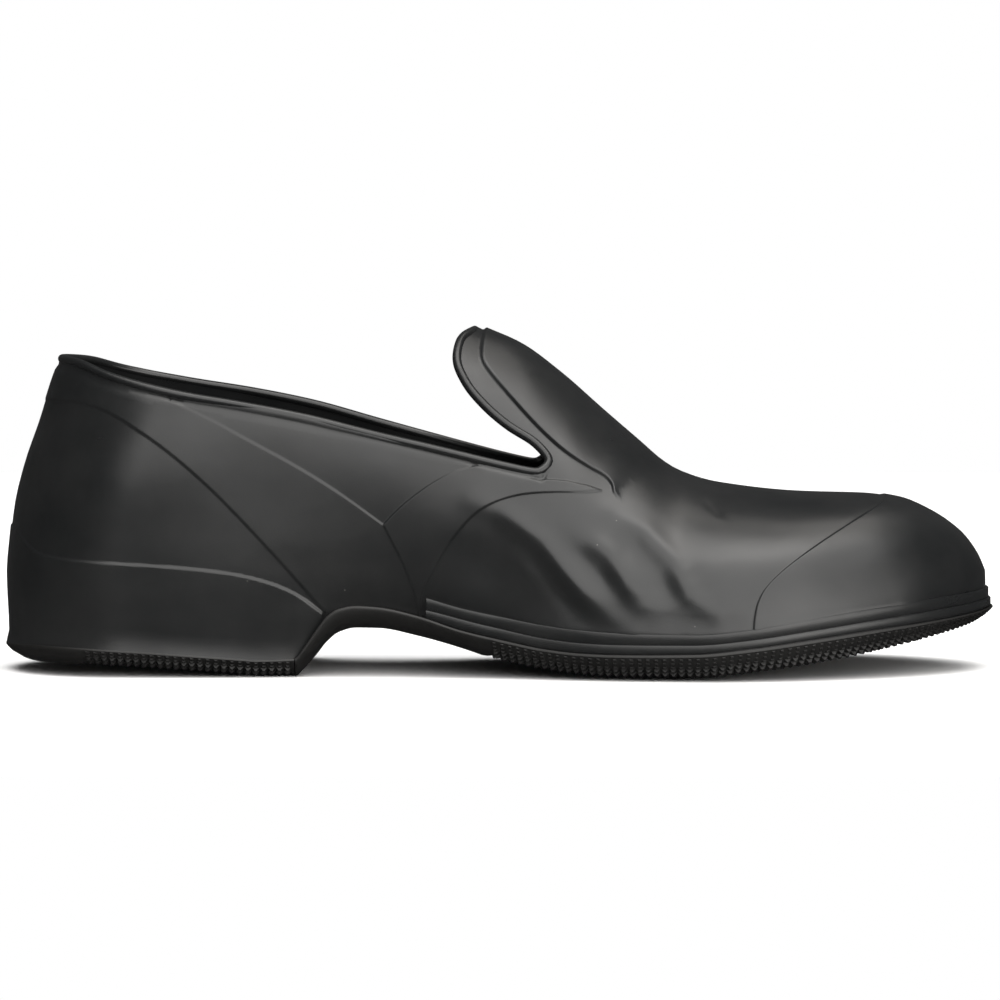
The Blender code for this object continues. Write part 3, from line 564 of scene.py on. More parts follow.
@dataclass
class MouldedLines:
    """Panels, lines and creases in the wall, drawn in side view.

    Attributes:
        counter: upper border of the heel's counter.
        heel: upper border of the heel block.
        sweep_top: upper border of the sweep.
        sweep_front: front border of the sweep.
        wing: the wing's border below the collar.
        gusset: the wing's border under the notch.
        arc: the wing's lower border.
        cap: border of the toe cap.
        flap: border of the flap's panel.
        medial_creases: share of the creases on the medial side.
    """

    counter: tuple = (
        (8.0, 83.6), (24.0, 83.8), (31.9, 82.0), (38.9, 78.5), (51.7, 70.1), (64.7, 59.1),
        (77.8, 45.7), (91.1, 31.0), (100.8, 19.5),
    )
    heel: tuple = (
        (-4.0, 45.5), (4.0, 45.0), (7.0, 42.0), (11.8, 37.4), (21.7, 35.6), (41.5, 34.6),
        (61.3, 33.3), (77.7, 31.0), (91.1, 26.4), (100.0, 19.5),
    )
    sweep_top: tuple = (
        (42.5, 89.3), (65.0, 79.2), (78.0, 71.9), (91.3, 64.8), (104.4, 56.8), (118.6, 46.5),
    )
    sweep_front: tuple = (
        (118.6, 46.5), (121.3, 41.3), (124.4, 35.2), (127.0, 28.9), (129.0, 22.0), (130.0, 16.0),
    )
    wing: tuple = (
        (118.6, 46.5), (122.6, 50.9), (128.9, 56.1), (135.0, 60.2), (141.3, 63.2), (146.9, 64.2),
        (151.0, 67.0),
    )
    gusset: tuple = (
        (151.0, 72.0), (163.0, 72.0), (164.6, 61.0), (168.0, 60.4), (174.2, 59.9), (181.0, 58.3),
        (185.0, 56.9),
    )
    arc: tuple = (
        (185.0, 56.9), (181.0, 56.4), (170.3, 56.6), (162.3, 56.2), (156.1, 54.9), (150.5, 52.7),
        (145.7, 49.5), (141.3, 44.6), (137.5, 39.2), (133.8, 32.4), (130.6, 26.2), (129.8, 22.0),
        (130.0, 16.0),
    )
    cap: tuple = (
        (230.0, 12.0), (230.4, 17.5), (230.8, 20.2), (231.7, 23.9), (234.0, 28.2), (239.0, 33.0),
        (246.0, 37.9), (255.5, 43.8), (265.0, 48.8), (272.0, 51.8), (278.0, 56.0),
    )
    flap: tuple = (
        (151.0, 112.0), (148.6, 103.0), (148.0, 97.0), (149.6, 93.6), (155.0, 87.3),
        (164.8, 76.4), (173.0, 68.8), (180.6, 63.8), (186.0, 61.0), (188.2, 58.6), (188.6, 56.4),
    )
    medial_creases: float = 0.7

    def __post_init__(self) -> None:
        """Close the outlines of the panels and place the creases."""
        counter, heel, cap, flap = map(rounded, (self.counter, self.heel, self.cap, self.flap))
        top, front = rounded(self.sweep_top), rounded(self.sweep_front)
        wing, arc = rounded(self.wing), rounded(self.arc)
        self.drawn = (counter, heel, cap, flap, top, front, wing, arc, self.gusset)
        sweep = counter + ((100.8, 0.0), (131.0, 0.0)) + front[::-1] + top[::-1]
        self.panels = (
            Panel(heel + ((100.0, -10.0), (-10.0, -10.0)), 0.42),
            Panel(sweep + ((42.5, 105.0), (-10.0, 110.0), (-10.0, 83.6)), 0.25),
            Panel(wing + self.gusset + arc + front[::-1], 0.4),
            Panel(cap + ((278.0, 75.0), (320.0, 75.0), (320.0, -10.0), (230.0, -10.0)), 0.45),
            Panel(flap + ((191.5, 53.0), (235.0, 40.0), (235.0, 115.0)), 1.1, 0.85, True),
        )
        self.creases = (
            Crease(((146.0, 54.0), (155.0, 50.4), (166.8, 41.6), (172.0, 35.0), (178.9, 26.4),
                    (187.4, 19.4), (194.0, 15.5)), 3.6, 1.0),
            Crease(((162.0, 40.5), (167.0, 33.5), (172.5, 26.4), (180.0, 18.5)), 3.0, -0.4),
            Crease(((173.0, 41.5), (178.5, 36.5), (184.3, 31.0), (189.5, 26.0)), 4.0, -0.65),
            Crease(((179.0, 44.0), (187.3, 38.2), (191.6, 31.3), (196.5, 22.7)), 3.0, 0.75),
            Crease(((188.5, 46.5), (193.5, 41.5), (198.5, 35.0), (203.0, 27.5), (205.8, 21.5)),
                   4.8, -1.2),
            Crease(((187.5, 50.5), (197.8, 44.9), (206.6, 36.4), (211.4, 26.4), (218.5, 20.3)),
                   3.2, 0.75),
            Crease(((210.5, 34.0), (214.5, 29.5), (218.6, 25.5)), 3.2, -0.35),
            Crease(((216.5, 53.6), (222.5, 48.5)), 1.2, -0.35),
        )
        self.swells = (
            Swell((40.0, 58.0), 13.0, 0.75),
            Swell((58.0, 64.0), 12.0, 0.6),
            Swell((88.0, 80.0), 18.0, 0.9),
            Swell((116.0, 66.0), 15.0, 0.8),
            Swell((149.0, 36.0), 11.0, -0.9),
            Swell((232.0, 33.0), 11.0, -0.45),
            Swell((262.0, 35.0), 13.0, -0.85),
        )

    def raised(self, x: Array, z: Array) -> Array:
        """Return how far the panels stand proud at each place in side view."""
        return sum(panel.relief(x, z) for panel in self.panels)

    def folded(self, sign: Array, x: Array, z: Array) -> Array:
        """Return the height of the creases at each place."""
        total = sum(form.relief(x, z) for form in self.creases + self.swells)
        return total * np.where(sign > 0, self.medial_creases, 1.0)

    def nearest(self, x: Array, z: Array) -> Array:
        """Return the distance to the nearest drawn line."""
        return np.minimum.reduce([line_distance(x, z, line)[0] for line in self.drawn])

    def nearest_crease(self, x: Array, z: Array) -> Array:
        """Return the distance to the nearest crease."""
        return np.minimum.reduce([line_distance(x, z, crease.line)[0] for crease in self.creases])


LINES = MouldedLines()


def clear_selection() -> None:
    """Leave object mode and select nothing."""
    if bpy.context.mode != "OBJECT":
        bpy.ops.object.mode_set(mode="OBJECT")
    bpy.ops.object.select_all(action="DESELECT")


def make_active(thing: bpy.types.Object) -> None:
    """Select one object alone and make it active.

    Args:
        thing: the object.
    """
    clear_selection()
    thing.select_set(True)
    bpy.context.view_layer.objects.active = thing


def sheet_of(name: str, across: int, along: int) -> tuple[bpy.types.Object, Array, Array]:
    """Add a grid to be wrapped round a form.

    Args:
        name: the object's name.
        across: its points in X.
        along: its points in Y.

    Returns:
        The object, and the place of each vertex in X and in Y, counted in points.
    """
    clear_selection()
    bpy.ops.mesh.primitive_grid_add(x_subdivisions=across - 1, y_subdivisions=along - 1, size=2.0)
    sheet = bpy.context.active_object
    sheet.name = name
    sheet.data.name = name
    flat = read_points(sheet)
    column = np.rint((flat[:, 0] + 1) / 2 * (across - 1)).astype(int)
    row = np.rint((flat[:, 1] + 1) / 2 * (along - 1)).astype(int)
    return sheet, column, row


def read_points(thing: bpy.types.Object) -> Array:
    """Return an object's vertices, a row each.

    Args:
        thing: the object.

    Returns:
        The vertices in metres.
    """
    flat = np.zeros(len(thing.data.vertices) * 3, np.float32)
    thing.data.vertices.foreach_get("co", flat)
    return flat.reshape(-1, 3).astype(float)


def write_points(thing: bpy.types.Object, points: Array) -> None:
    """Move an object's vertices to shoe points in millimetres."""
    thing.data.vertices.foreach_set("co", LAST.to_row(points).astype(np.float32).ravel())
    thing.data.update()


def read_value(thing: bpy.types.Object, name: str) -> Array:
    """Return a vertex attribute's numbers.

    Args:
        thing: the object.
        name: the attribute's name.

    Returns:
        A number for each vertex.
    """
    values = np.zeros(len(thing.data.vertices), np.float32)
    thing.data.attributes[name].data.foreach_get("value", values)
    return values.astype(float)


def write_value(thing: bpy.types.Object, name: str, values: Array) -> None:
    """Store a number on each vertex under a name."""
    found = thing.data.attributes.get(name) or thing.data.attributes.new(name, "FLOAT", "POINT")
    found.data.foreach_set("value", np.asarray(values, np.float32))


def close_up(thing: bpy.types.Object, cap: bool = False) -> None:
    """Merge points that meet, drop what has no area, cap open ends and turn the faces outward.

    Args:
        thing: the object.
        cap: whether open ends are capped.
    """
    make_active(thing)
    bpy.ops.object.mode_set(mode="EDIT")
    bpy.ops.mesh.select_all(action="SELECT")
    bpy.ops.mesh.remove_doubles(threshold=1e-6)
    bpy.ops.mesh.dissolve_degenerate(threshold=1e-6)
    if cap:
        bpy.ops.mesh.select_all(action="SELECT")
        bpy.ops.mesh.fill_holes(sides=0)
    bpy.ops.mesh.select_all(action="SELECT")
    bpy.ops.mesh.normals_make_consistent(inside=False)
    bpy.ops.object.mode_set(mode="OBJECT")


def shade(thing: bpy.types.Object, degrees: float) -> None:
    """Shade smooth, with edges sharper than an angle kept sharp."""
    make_active(thing)
    bpy.ops.object.shade_smooth_by_angle(angle=math.radians(degrees))


def dress(thing: bpy.types.Object, material: bpy.types.Material) -> None:
    """Give a piece its material and slot, and let it ride.

    Args:
        thing: the object.
        material: its material.
    """
    thing.data.materials.clear()
    thing.data.materials.append(material)
    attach(thing, BODY)
    LOG.info("%s: %d faces", thing.name, len(thing.data.polygons))


@dataclass(frozen=True)
class RubberFinish:
    """Satin moulded rubber.

    Attributes:
        name: the material's name.
        deep: colour of the bare rubber.
        bloom: colour where a little bloom or dust lies on it.
        roughness: middle roughness.
        patch: how much the roughness wanders.
        grain: height of the mould's fine texture, in millimetres.
        grain_size: size of that texture, in millimetres.
        dust: share of the bloom colour in the specks.
        wave: height of the surface's slow waves, in millimetres.
        dust_colour: colour of the specks.
        cloud_scale: scale of the bloom.
        smear_scale: scale of the roughness along each axis.
        speck_scale: scale of the specks.
        wave_scale: scale of the waves.
        refraction: index of refraction.
    """

    name: str
    deep: tuple = (0.0062, 0.0068, 0.0072)
    bloom: tuple = (0.0125, 0.0127, 0.0128)
    roughness: float = 0.33
    patch: float = 0.09
    grain: float = 0.012
    grain_size: float = 0.5
    wave: float = 0.09
    dust: float = 0.3
    dust_colour: tuple = (0.32, 0.31, 0.29)
    cloud_scale: float = 32.0
    smear_scale: tuple = (18.0, 18.0, 60.0)
    speck_scale: float = 170.0
    wave_scale: float = 60.0
    refraction: float = 1.52

    def material(self) -> bpy.types.Material:
        """Return the material, made of nodes on object coordinates.

        Returns:
            The material.
        """
        material = bpy.data.materials.new(self.name)
        material.use_nodes = True
        board = Board(material)
        place = board.add("ShaderNodeTexCoord").outputs["Object"]
        cloud = board.noise(place, self.cloud_scale, 4.0, 0.6)
        smear = board.noise(board.stretch(place, self.smear_scale), 1.0, 3.0, 0.55)
        colour = board.mix(board.ramp(cloud, 0.35, 0.75), self.deep, self.bloom)
        cells = board.add("ShaderNodeTexVoronoi", feature="F1", distance="EUCLIDEAN")
        cells.inputs["Scale"].default_value = self.speck_scale
        board.link(place, cells.inputs["Vector"])
        speck = board.ramp(cells.outputs["Distance"], 0.045, 0.03)
        split = board.add("ShaderNodeSeparateColor")
        board.link(cells.outputs["Color"], split.inputs["Color"])
        chosen = board.ramp(split.outputs["Red"], 0.9, 0.98)
        marked = board.maths("MULTIPLY", board.maths("MULTIPLY", speck, chosen), self.dust)
        colour = board.mix(marked, colour, self.dust_colour)
        board.link(colour, board.shader.inputs["Base Color"])
        rough = board.maths("ADD", board.ramp(smear, 0.2, 0.8, -self.patch, self.patch), self.roughness)
        board.link(rough, board.shader.inputs["Roughness"])
        board.shader.inputs["IOR"].default_value = self.refraction
        fine = board.noise(place, 1000.0 / self.grain_size, 2.0, 0.5)
        wave = board.noise(place, self.wave_scale, 2.0, 0.45)
        bump = board.bump(fine, self.grain)
        bump = board.bump(wave, self.wave, bump)
        board.link(bump, board.shader.inputs["Normal"])
        return material


@dataclass(frozen=True)
class LiningFinish:
    """Dark knitted lining glued to the footbed.

    Attributes:
        name: the material's name.
        yarn: colour of the yarn.
        gap: colour between the stitches.
        pitch: stitch width, in millimetres.
        relief: stitch height, in millimetres.
        fuzz_scale: scale of the fuzz.
        sheen: weight of the sheen.
        roughness: its roughness.
    """

    name: str
    yarn: tuple = (0.02, 0.02, 0.021)
    gap: tuple = (0.006, 0.006, 0.006)
    pitch: float = 1.1
    relief: float = 0.18
    fuzz_scale: float = 2600.0
    sheen: float = 0.25
    roughness: float = 0.9

    def material(self) -> bpy.types.Material:
        """Return the material, with its stitches along the shoe.

        Returns:
            The material.
        """
        material = bpy.data.materials.new(self.name)
        material.use_nodes = True
        board = Board(material)
        place = board.add("ShaderNodeTexCoord").outputs["Object"]
        turns = 2 * math.pi / (self.pitch * MM)
        split = board.add("ShaderNodeSeparateXYZ")
        board.link(place, split.inputs["Vector"])
        rib = board.maths("SINE", board.maths("MULTIPLY", split.outputs["Y"], turns))
        row = board.maths("SINE", board.maths("MULTIPLY", split.outputs["X"], turns * 0.8))
        knit = board.maths("MULTIPLY", rib, row)
        height = board.ramp(knit, -0.8, 0.9)
        fuzz = board.noise(place, self.fuzz_scale, 3.0, 0.6)
        height = board.maths("ADD", height, board.maths("MULTIPLY", fuzz, 0.35))
        board.link(board.mix(height, self.gap, self.yarn), board.shader.inputs["Base Color"])
        board.shader.inputs["Roughness"].default_value = self.roughness
        board.shader.inputs["Sheen Weight"].default_value = self.sheen
        board.link(board.bump(height, self.relief), board.shader.inputs["Normal"])
        return material


class Board:
    """A material's node tree with short ways to add to it."""

    def __init__(self, material: bpy.types.Material) -> None:
        """Keep the tree and its Principled shader."""
        self.tree = material.node_tree
        self.shader = self.tree.nodes["Principled BSDF"]

    def add(self, kind: str, **options: str) -> bpy.types.Node:
        """Add a node with its options set.

        Args:
            kind: the node's type.
            options: the options and their values.

        Returns:
            The node.
        """
        node = self.tree.nodes.new(kind)
        for name, value in options.items():
            setattr(node, name, value)
        return node

    def link(self, source: Socket, target: Socket) -> None:
        """Join two sockets."""
        self.tree.links.new(source, target)

    def noise(self, place: Socket, scale: float, detail: float, roughness: float) -> Socket:
        """Return a noise's value.

        Args:
            place: the coordinates.
            scale: the scale.
            detail: octaves of the noise.
            roughness: strength of the finer octaves.

        Returns:
            Its value.
        """
        node = self.add("ShaderNodeTexNoise")
        node.inputs["Scale"].default_value = scale
        node.inputs["Detail"].default_value = detail
        node.inputs["Roughness"].default_value = roughness
        self.link(place, node.inputs["Vector"])
        return node.outputs["Fac"]

    def stretch(self, place: Socket, scale: tuple) -> Socket:
        """Return coordinates scaled along each axis.

        Args:
            place: the coordinates.
            scale: the scale.

        Returns:
            The new coordinates.
        """
        node = self.add("ShaderNodeMapping")
        node.inputs["Scale"].default_value = scale
        self.link(place, node.inputs["Vector"])
        return node.outputs["Vector"]

    def ramp(self, value: Socket, low: float, high: float, to_low: float = 0.0,
             to_high: float = 1.0) -> Socket:
        """Return a value carried from one range to another and held at its ends.

        Args:
            value: the value.
            low: start of the first range.
            high: end of the first range.
            to_low: what the lower one becomes.
            to_high: what the higher one becomes.

        Returns:
            The new value.
        """
        node = self.add("ShaderNodeMapRange")
        node.clamp = True
        limits = {"From Min": low, "From Max": high, "To Min": to_low, "To Max": to_high}
        for name, number in limits.items():
            node.inputs[name].default_value = number
        self.link(value, node.inputs["Value"])
        return node.outputs["Result"]

    def maths(self, operation: str, first: Socket | float,
              second: Socket | float | None = None) -> Socket:
        """Return the outcome of a sum on sockets or numbers.

        Args:
            operation: the sum's name.
            first: its first part.
            second: its second part, if it has one.

        Returns:
            The outcome.
        """
        node = self.add("ShaderNodeMath", operation=operation)
        for socket, value in zip(node.inputs, (first, second)):
            if isinstance(value, (int, float)):
                socket.default_value = value
            elif value is not None:
                self.link(value, socket)
        return node.outputs["Value"]

    def mix(self, share: Socket, low: Socket | tuple, high: Socket | tuple) -> Socket:
        """Return a mix of two colours, each a socket or three numbers.

        Args:
            share: the second colour's share.
            low: the first colour.
            high: the second colour.

        Returns:
            The colour.
        """
        node = self.add("ShaderNodeMix", data_type="RGBA")
        self.link(share, node.inputs["Factor"])
        for name, value in (("A", low), ("B", high)):
            target = next(s for s in node.inputs if s.name == name and s.type == "RGBA")
            if isinstance(value, tuple):
                target.default_value = (*value, 1.0)
            else:
                self.link(value, target)
        return next(s for s in node.outputs if s.type == "RGBA")

    def bump(self, height: Socket, depth: float, before: Socket | None = None) -> Socket:
        """Return a normal bumped by a height, with depth in millimetres.

        Args:
            height: the height.
            depth: how deep the height's full range is.
            before: the normal that it adds to, if any.

        Returns:
            The normal.
        """
        node = self.add("ShaderNodeBump")
        node.inputs["Strength"].default_value = 1.0
        node.inputs["Distance"].default_value = depth * MM
        self.link(height, node.inputs["Height"])
        if before is not None:
            self.link(before, node.inputs["Normal"])
        return node.outputs["Normal"]


@dataclass
class Upper:
    """The moulded upper: its wall with raised panels, creases and a rolled bead.

    Attributes:
        lower_rows: rows from the sole to the collar or the notch's level.
        crest_rows: rows from there to the crest.
        tuck_in: how far the wall runs down behind the sole's lip.
        cove_height: height of the flare above the heel's lip.
        cove_reach: how far the flare stands out at the lip.
        bead_radius: radius of the rolled bead.
        heel_columns: grid columns round the heel.
        rear_columns: columns from there to the notch.
        front_columns: columns from the notch to the toe.
        toe_columns: columns round the toe.
        toe_span: length of the toe's fan of columns.
        cove_end: where the flare dies away.
        welt_height: height of the flare above the foxing.
        welt_reach: how far that flare stands out.
        welt_start: where it begins.
        welt_end: where it dies away.
        rim_margin: plain margin below the collar.
        collar_height: height of a column at the heel.
        collar_fall: how much lower each millimetre forward makes it.
        groove_place: distance of the groove from the collar.
        groove_width: its half width.
        groove_depth: its depth.
        bead_sides: sides of the bead.
        bead_lift: how far the bead stands out of the wall's middle.
        bead_heart: point that the bead faces away from.
        bead_step: distance between its rings.
        rim_marks: marks up each side of the flap.
        reaches: reach of each splitting of the faces.
        finish: its rubber.
    """

    heel_columns: int = 26
    rear_columns: int = 62
    front_columns: int = 52
    toe_columns: int = 34
    toe_span: float = 36.0
    lower_rows: int = 24
    crest_rows: int = 18
    tuck_in: float = 0.5
    cove_height: float = 4.6
    cove_reach: float = 1.1
    cove_end: tuple = (86.0, 96.0)
    welt_height: float = 11.0
    welt_reach: float = 1.25
    welt_start: tuple = (146.0, 176.0)
    welt_end: tuple = (276.0, 296.0)
    rim_margin: float = 1.5
    collar_height: float = 88.0
    collar_fall: float = 0.19
    groove_place: float = 2.1
    groove_width: float = 0.6
    groove_depth: float = 0.4
    bead_radius: float = 1.4
    bead_sides: int = 14
    bead_lift: float = 0.3
    bead_heart: tuple = (LAST.length / 3, 0.0, 60.0)
    bead_step: float = 1.1
    rim_marks: int = 60
    reaches: tuple = (6.0, 1.7, 0.7)
    finish: RubberFinish = field(default_factory=lambda: RubberFinish("satin_rubber_upper"))

    def build(self) -> None:
        """Make the wall and the bead, and dress them."""
        material = self.finish.material()
        wall = self.wall()
        dress(wall, material)
        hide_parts("upper")
        bead = self.bead()
        dress(bead, material)

    def column_places(self) -> Array:
        """Return where the grid's columns start on the sole's edge.

        Returns:
            The places, rising.
        """
        start, notch, tip = LAST.back_start, LAST.notch_base, LAST.toe_tip
        heel = start + (LAST.heel_radius - start) * (
            1 - np.cos(np.linspace(0, math.pi / 2, self.heel_columns)))
        rear = np.linspace(LAST.heel_radius, notch, self.rear_columns)
        front = np.linspace(notch, tip - self.toe_span, self.front_columns)
        toe = tip + self.toe_span * (np.sin(np.linspace(0, math.pi / 2, self.toe_columns)) - 1)
        return np.concatenate([heel, rear[1:], front[1:], toe[1:]])

    def wall(self) -> bpy.types.Object:
        """Return the hollow wall, finer near its moulded lines.

        Returns:
            The wall.
        """
        places = self.column_places()
        notch = int(np.argmin(np.abs(places - LAST.notch_base)))
        half_rows = self.lower_rows + self.crest_rows
        wall, column, row = sheet_of("upper_wall", len(places), 2 * half_rows + 1)
        step = half_rows - np.abs(row - half_rows)
        climb = np.where(step <= self.lower_rows, step / self.lower_rows,
                         1 + (step - self.lower_rows) / self.crest_rows)
        sign = np.sign(row - half_rows).astype(float)
        seam = (column == 0) | (column == len(places) - 1)
        sign[seam] = 0.0
        base = places[column]
        write_value(wall, "sign", sign)
        write_value(wall, "base", base)
        write_value(wall, "climb", climb)
        write_points(wall, LAST.wall_column(sign, base, climb))
        self.open_collar(wall, notch)
        close_up(wall)
        self.thicken(wall)
        for reach in self.reaches:
            self.refine(wall, reach, reach == self.reaches[0])
        self.mould(wall)
        shade(wall, 60.0)
        return wall

    def open_collar(self, wall: bpy.types.Object, notch: int) -> None:
        """Delete the part of the grid that would close the collar.

        Args:
            wall: the wall.
            notch: the notch's column.
        """
        places = self.column_places()
        base, climb = read_value(wall, "base"), read_value(wall, "climb")
        make_active(wall)
        gone = [all(climb[i] >= 1 - 1e-6 and base[i] <= places[notch] + 1e-4 for i in face.vertices)
                for face in wall.data.polygons]
        bpy.ops.object.mode_set(mode="EDIT")
        bpy.ops.mesh.select_mode(type="FACE")
        bpy.ops.object.mode_set(mode="OBJECT")
        wall.data.polygons.foreach_set("select", gone)
        bpy.ops.object.mode_set(mode="EDIT")
        bpy.ops.mesh.delete(type="FACE")
        bpy.ops.object.mode_set(mode="OBJECT")

    def thicken(self, wall: bpy.types.Object) -> None:
        """Give the wall its thickness and mark which points are on its outer skin.

        Args:
            wall: the wall.
        """
        outer = len(wall.data.vertices)
        modifier = wall.modifiers.new("Thickness", "SOLIDIFY")
        modifier.thickness = LAST.wall * MM
        modifier.offset = -1.0
        make_active(wall)
        bpy.ops.object.modifier_apply(modifier=modifier.name)
        skin = np.zeros(len(wall.data.vertices))
        skin[:outer] = 1.0
        write_value(wall, "skin", skin)

    def refine(self, wall: bpy.types.Object, reach: float, creases: bool) -> None:
        """Split the outer faces that lie within reach of a moulded line, or of a crease too.

        Args:
            wall: the wall.
            reach: distance within which faces are split.
            creases: whether creases count too.
        """
        points = self.plain_points(wall)
        near = LINES.nearest(points[:, 0], points[:, 2]) < reach
        near |= self.rim_gap(wall) < min(reach, self.groove_place * 2)
        if creases:
            near |= LINES.nearest_crease(points[:, 0], points[:, 2]) < reach + 1.0
        outer = read_value(wall, "skin") > 0.99
        chosen = near & outer
        picked = [all(outer[i] for i in face.vertices) and any(chosen[i] for i in face.vertices)
                  for face in wall.data.polygons]
        make_active(wall)
        bpy.ops.object.mode_set(mode="EDIT")
        bpy.ops.mesh.select_mode(type="FACE")
        bpy.ops.mesh.select_all(action="DESELECT")
        bpy.ops.object.mode_set(mode="OBJECT")
        wall.data.polygons.foreach_set("select", picked)
        bpy.ops.object.mode_set(mode="EDIT")
        bpy.ops.mesh.subdivide(number_cuts=1, smoothness=0.0, ngon=False, quadcorner="STRAIGHT_CUT")
        bpy.ops.object.mode_set(mode="OBJECT")

    def plain_points(self, wall: bpy.types.Object) -> Array:
        """Return each point's place on the plain form, before relief."""
        sign, base, climb = (read_value(wall, name) for name in ("sign", "base", "climb"))
        return LAST.wall_column(sign, np.clip(base, LAST.back_start, LAST.toe_tip), climb)

    def rim_gap(self, wall: bpy.types.Object) -> Array:
        """Return how far each point lies below the collar, large away from it.

        Args:
            wall: the wall.

        Returns:
            A distance for each vertex.
        """
        base, climb = read_value(wall, "base"), read_value(wall, "climb")
        tall = self.collar_height - self.collar_fall * base
        ahead = np.maximum(base - LAST.notch_base, 0.0)
        return np.hypot((1 - climb) * tall, ahead)

    def normals(self, wall: bpy.types.Object) -> Array:
        """Return the outward normal of the plain form at each point.

        Args:
            wall: the wall.

        Returns:
            Unit normals, a row each.
        """
        sign, base, climb = (read_value(wall, name) for name in ("sign", "base", "climb"))
        way = np.where(sign > 0, 1.0, -1.0)
        step_base, step_climb = 0.02, 0.0005
        base_low = np.clip(base - step_base, LAST.back_start, LAST.toe_tip)
        base_high = np.clip(base + step_base, LAST.back_start, LAST.toe_tip)
        rear = base <= LAST.notch_base
        base_high = np.where(rear, np.minimum(base_high, LAST.notch_base), base_high)
        low_limit = np.where(climb > 1, 1.0 + 1e-9, 0.0)
        high_limit = np.where(climb > 1, 2.0, 1.0)
        climb_low = np.clip(climb - step_climb, low_limit, high_limit)
        climb_high = np.clip(climb + step_climb, low_limit, high_limit)
        along = LAST.wall_column(way, base_high, climb) - LAST.wall_column(way, base_low, climb)
        up = LAST.wall_column(way, base, climb_high) - LAST.wall_column(way, base, climb_low)
        normal = np.cross(along, up) * -way[:, None]
        size = np.linalg.norm(normal, axis=1, keepdims=True)
        normal = normal / np.maximum(size, 1e-12)
        seam = (np.abs(sign) < 1e-3) | (climb > 2 - 1e-6)
        normal[seam, 1] = 0.0
        normal /= np.maximum(np.linalg.norm(normal, axis=1, keepdims=True), 1e-12)
        return normal

    def mould(self, wall: bpy.types.Object) -> None:
        """Put the panels, the creases and the heel's flare into the wall.

        Args:
            wall: the wall.
        """
        points, normal = self.plain_points(wall), self.normals(wall)
        sign, climb = read_value(wall, "sign"), read_value(wall, "climb")
        outer = read_value(wall, "skin") > 0.5
        x, z = points[:, 0], points[:, 2]
        offset = LINES.folded(sign, x, z)
        above = z - LAST.lip(x)
        heel = 1 - smooth((x - self.cove_end[0]) / (self.cove_end[1] - self.cove_end[0]))
        flare = self.cove_reach * np.clip(1 - above / self.cove_height, 0.0, 1.0) ** 2 * heel
        start, end = self.welt_start, self.welt_end
        welt = smooth((x - start[0]) / (start[1] - start[0])) * smooth((end[1] - x) / (end[1] - end[0]))
        over = np.clip((above - LAST.foxing_top(x)) / self.welt_height, 0.0, 1.0)
        flare = flare + self.welt_reach * welt * (1 - over) ** 2
        rim_gap = self.rim_gap(wall)
        raised = LINES.raised(x, z) * smooth((rim_gap - self.rim_margin) / 0.8)
        groove = self.groove_depth * np.exp(-(((rim_gap - self.groove_place) / self.groove_width) ** 2))
        offset = offset + np.where(outer, raised + flare - groove, -LAST.wall)
        points = points + normal * offset[:, None]
        points[:, 2] -= np.where(climb <= 1e-6, self.tuck_in, 0.0)
        write_points(wall, points)

    def bead(self) -> bpy.types.Object:
        """Return the bead rolled round the collar and the flap.

        Returns:
            The bead.
        """
        path = self.rim_path()
        bead, station, turn = sheet_of("collar_bead", len(path) + 1, self.bead_sides + 1)
        station = station % len(path)
        ahead, behind = np.roll(path, -1, axis=0), np.roll(path, 1, axis=0)
        along = ahead - behind
        along /= np.linalg.norm(along, axis=1, keepdims=True)
        outward = path - np.array(self.bead_heart)
        outward -= along * np.sum(outward * along, axis=1, keepdims=True)
        outward /= np.linalg.norm(outward, axis=1, keepdims=True)
        across = np.cross(along, outward)
        angle = turn / self.bead_sides * 2 * math.pi
        reach = np.cos(angle)[:, None] * outward[station] + np.sin(angle)[:, None] * across[station]
        write_points(bead, path[station] + reach * self.bead_radius)
        close_up(bead)
        shade(bead, 80.0)
        return bead

    def rim_path(self) -> Array:
        """Return the closed line along the middle of the wall's edge.

        Returns:
            Points in millimetres, a row each.
        """
        places = self.column_places()
        sides = []
        for side in Side:
            rear = places[places < LAST.notch_base]
            base = np.concatenate([rear, np.full(self.rim_marks, LAST.notch_base)])
            climb = np.concatenate([np.ones(len(rear)), np.linspace(1.0, 2.0, self.rim_marks)])
            sign = np.full(len(base), float(side.value))
            probe = RimProbe(sign, base, climb, LAST.wall / 2 - self.bead_lift)
            sides.append(probe.middle())
        lateral, medial = sides
        loop = np.concatenate([lateral, medial[::-1][1:-1]])
        return even_loop(loop, self.bead_step)


@dataclass
class RimProbe:
    """Points along the edge of the wall, moved to the middle of its thickness.

    Attributes:
        sign: side of each point.
        base: where its column starts on the sole's edge.
        climb: how far up the column it is.
        depth: depth inside the wall's outer face.
    """

    sign: Array
    base: Array
    climb: Array
    depth: float

    def middle(self) -> Array:
        """Return the points at a depth inside the wall's outer face.

        Returns:
            Points in millimetres, a row each.
        """
        here = LAST.wall_column(self.sign, self.base, self.climb)
        step = 0.02
        front = LAST.wall_point(self.sign, here[:, 0] + step, here[:, 2])
        rear = LAST.wall_point(self.sign, here[:, 0] - step, here[:, 2])
        over = LAST.wall_point(self.sign, here[:, 0], here[:, 2] + step)
        under = LAST.wall_point(self.sign, here[:, 0], here[:, 2] - step)
        slope_x = (front[:, 1] - rear[:, 1]) / (2 * step)
        slope_z = (over[:, 1] - under[:, 1]) / (2 * step)
        normal = np.stack([-slope_x * self.sign, self.sign, -slope_z * self.sign], axis=1)
        normal /= np.linalg.norm(normal, axis=1, keepdims=True)
        return here - normal * self.depth


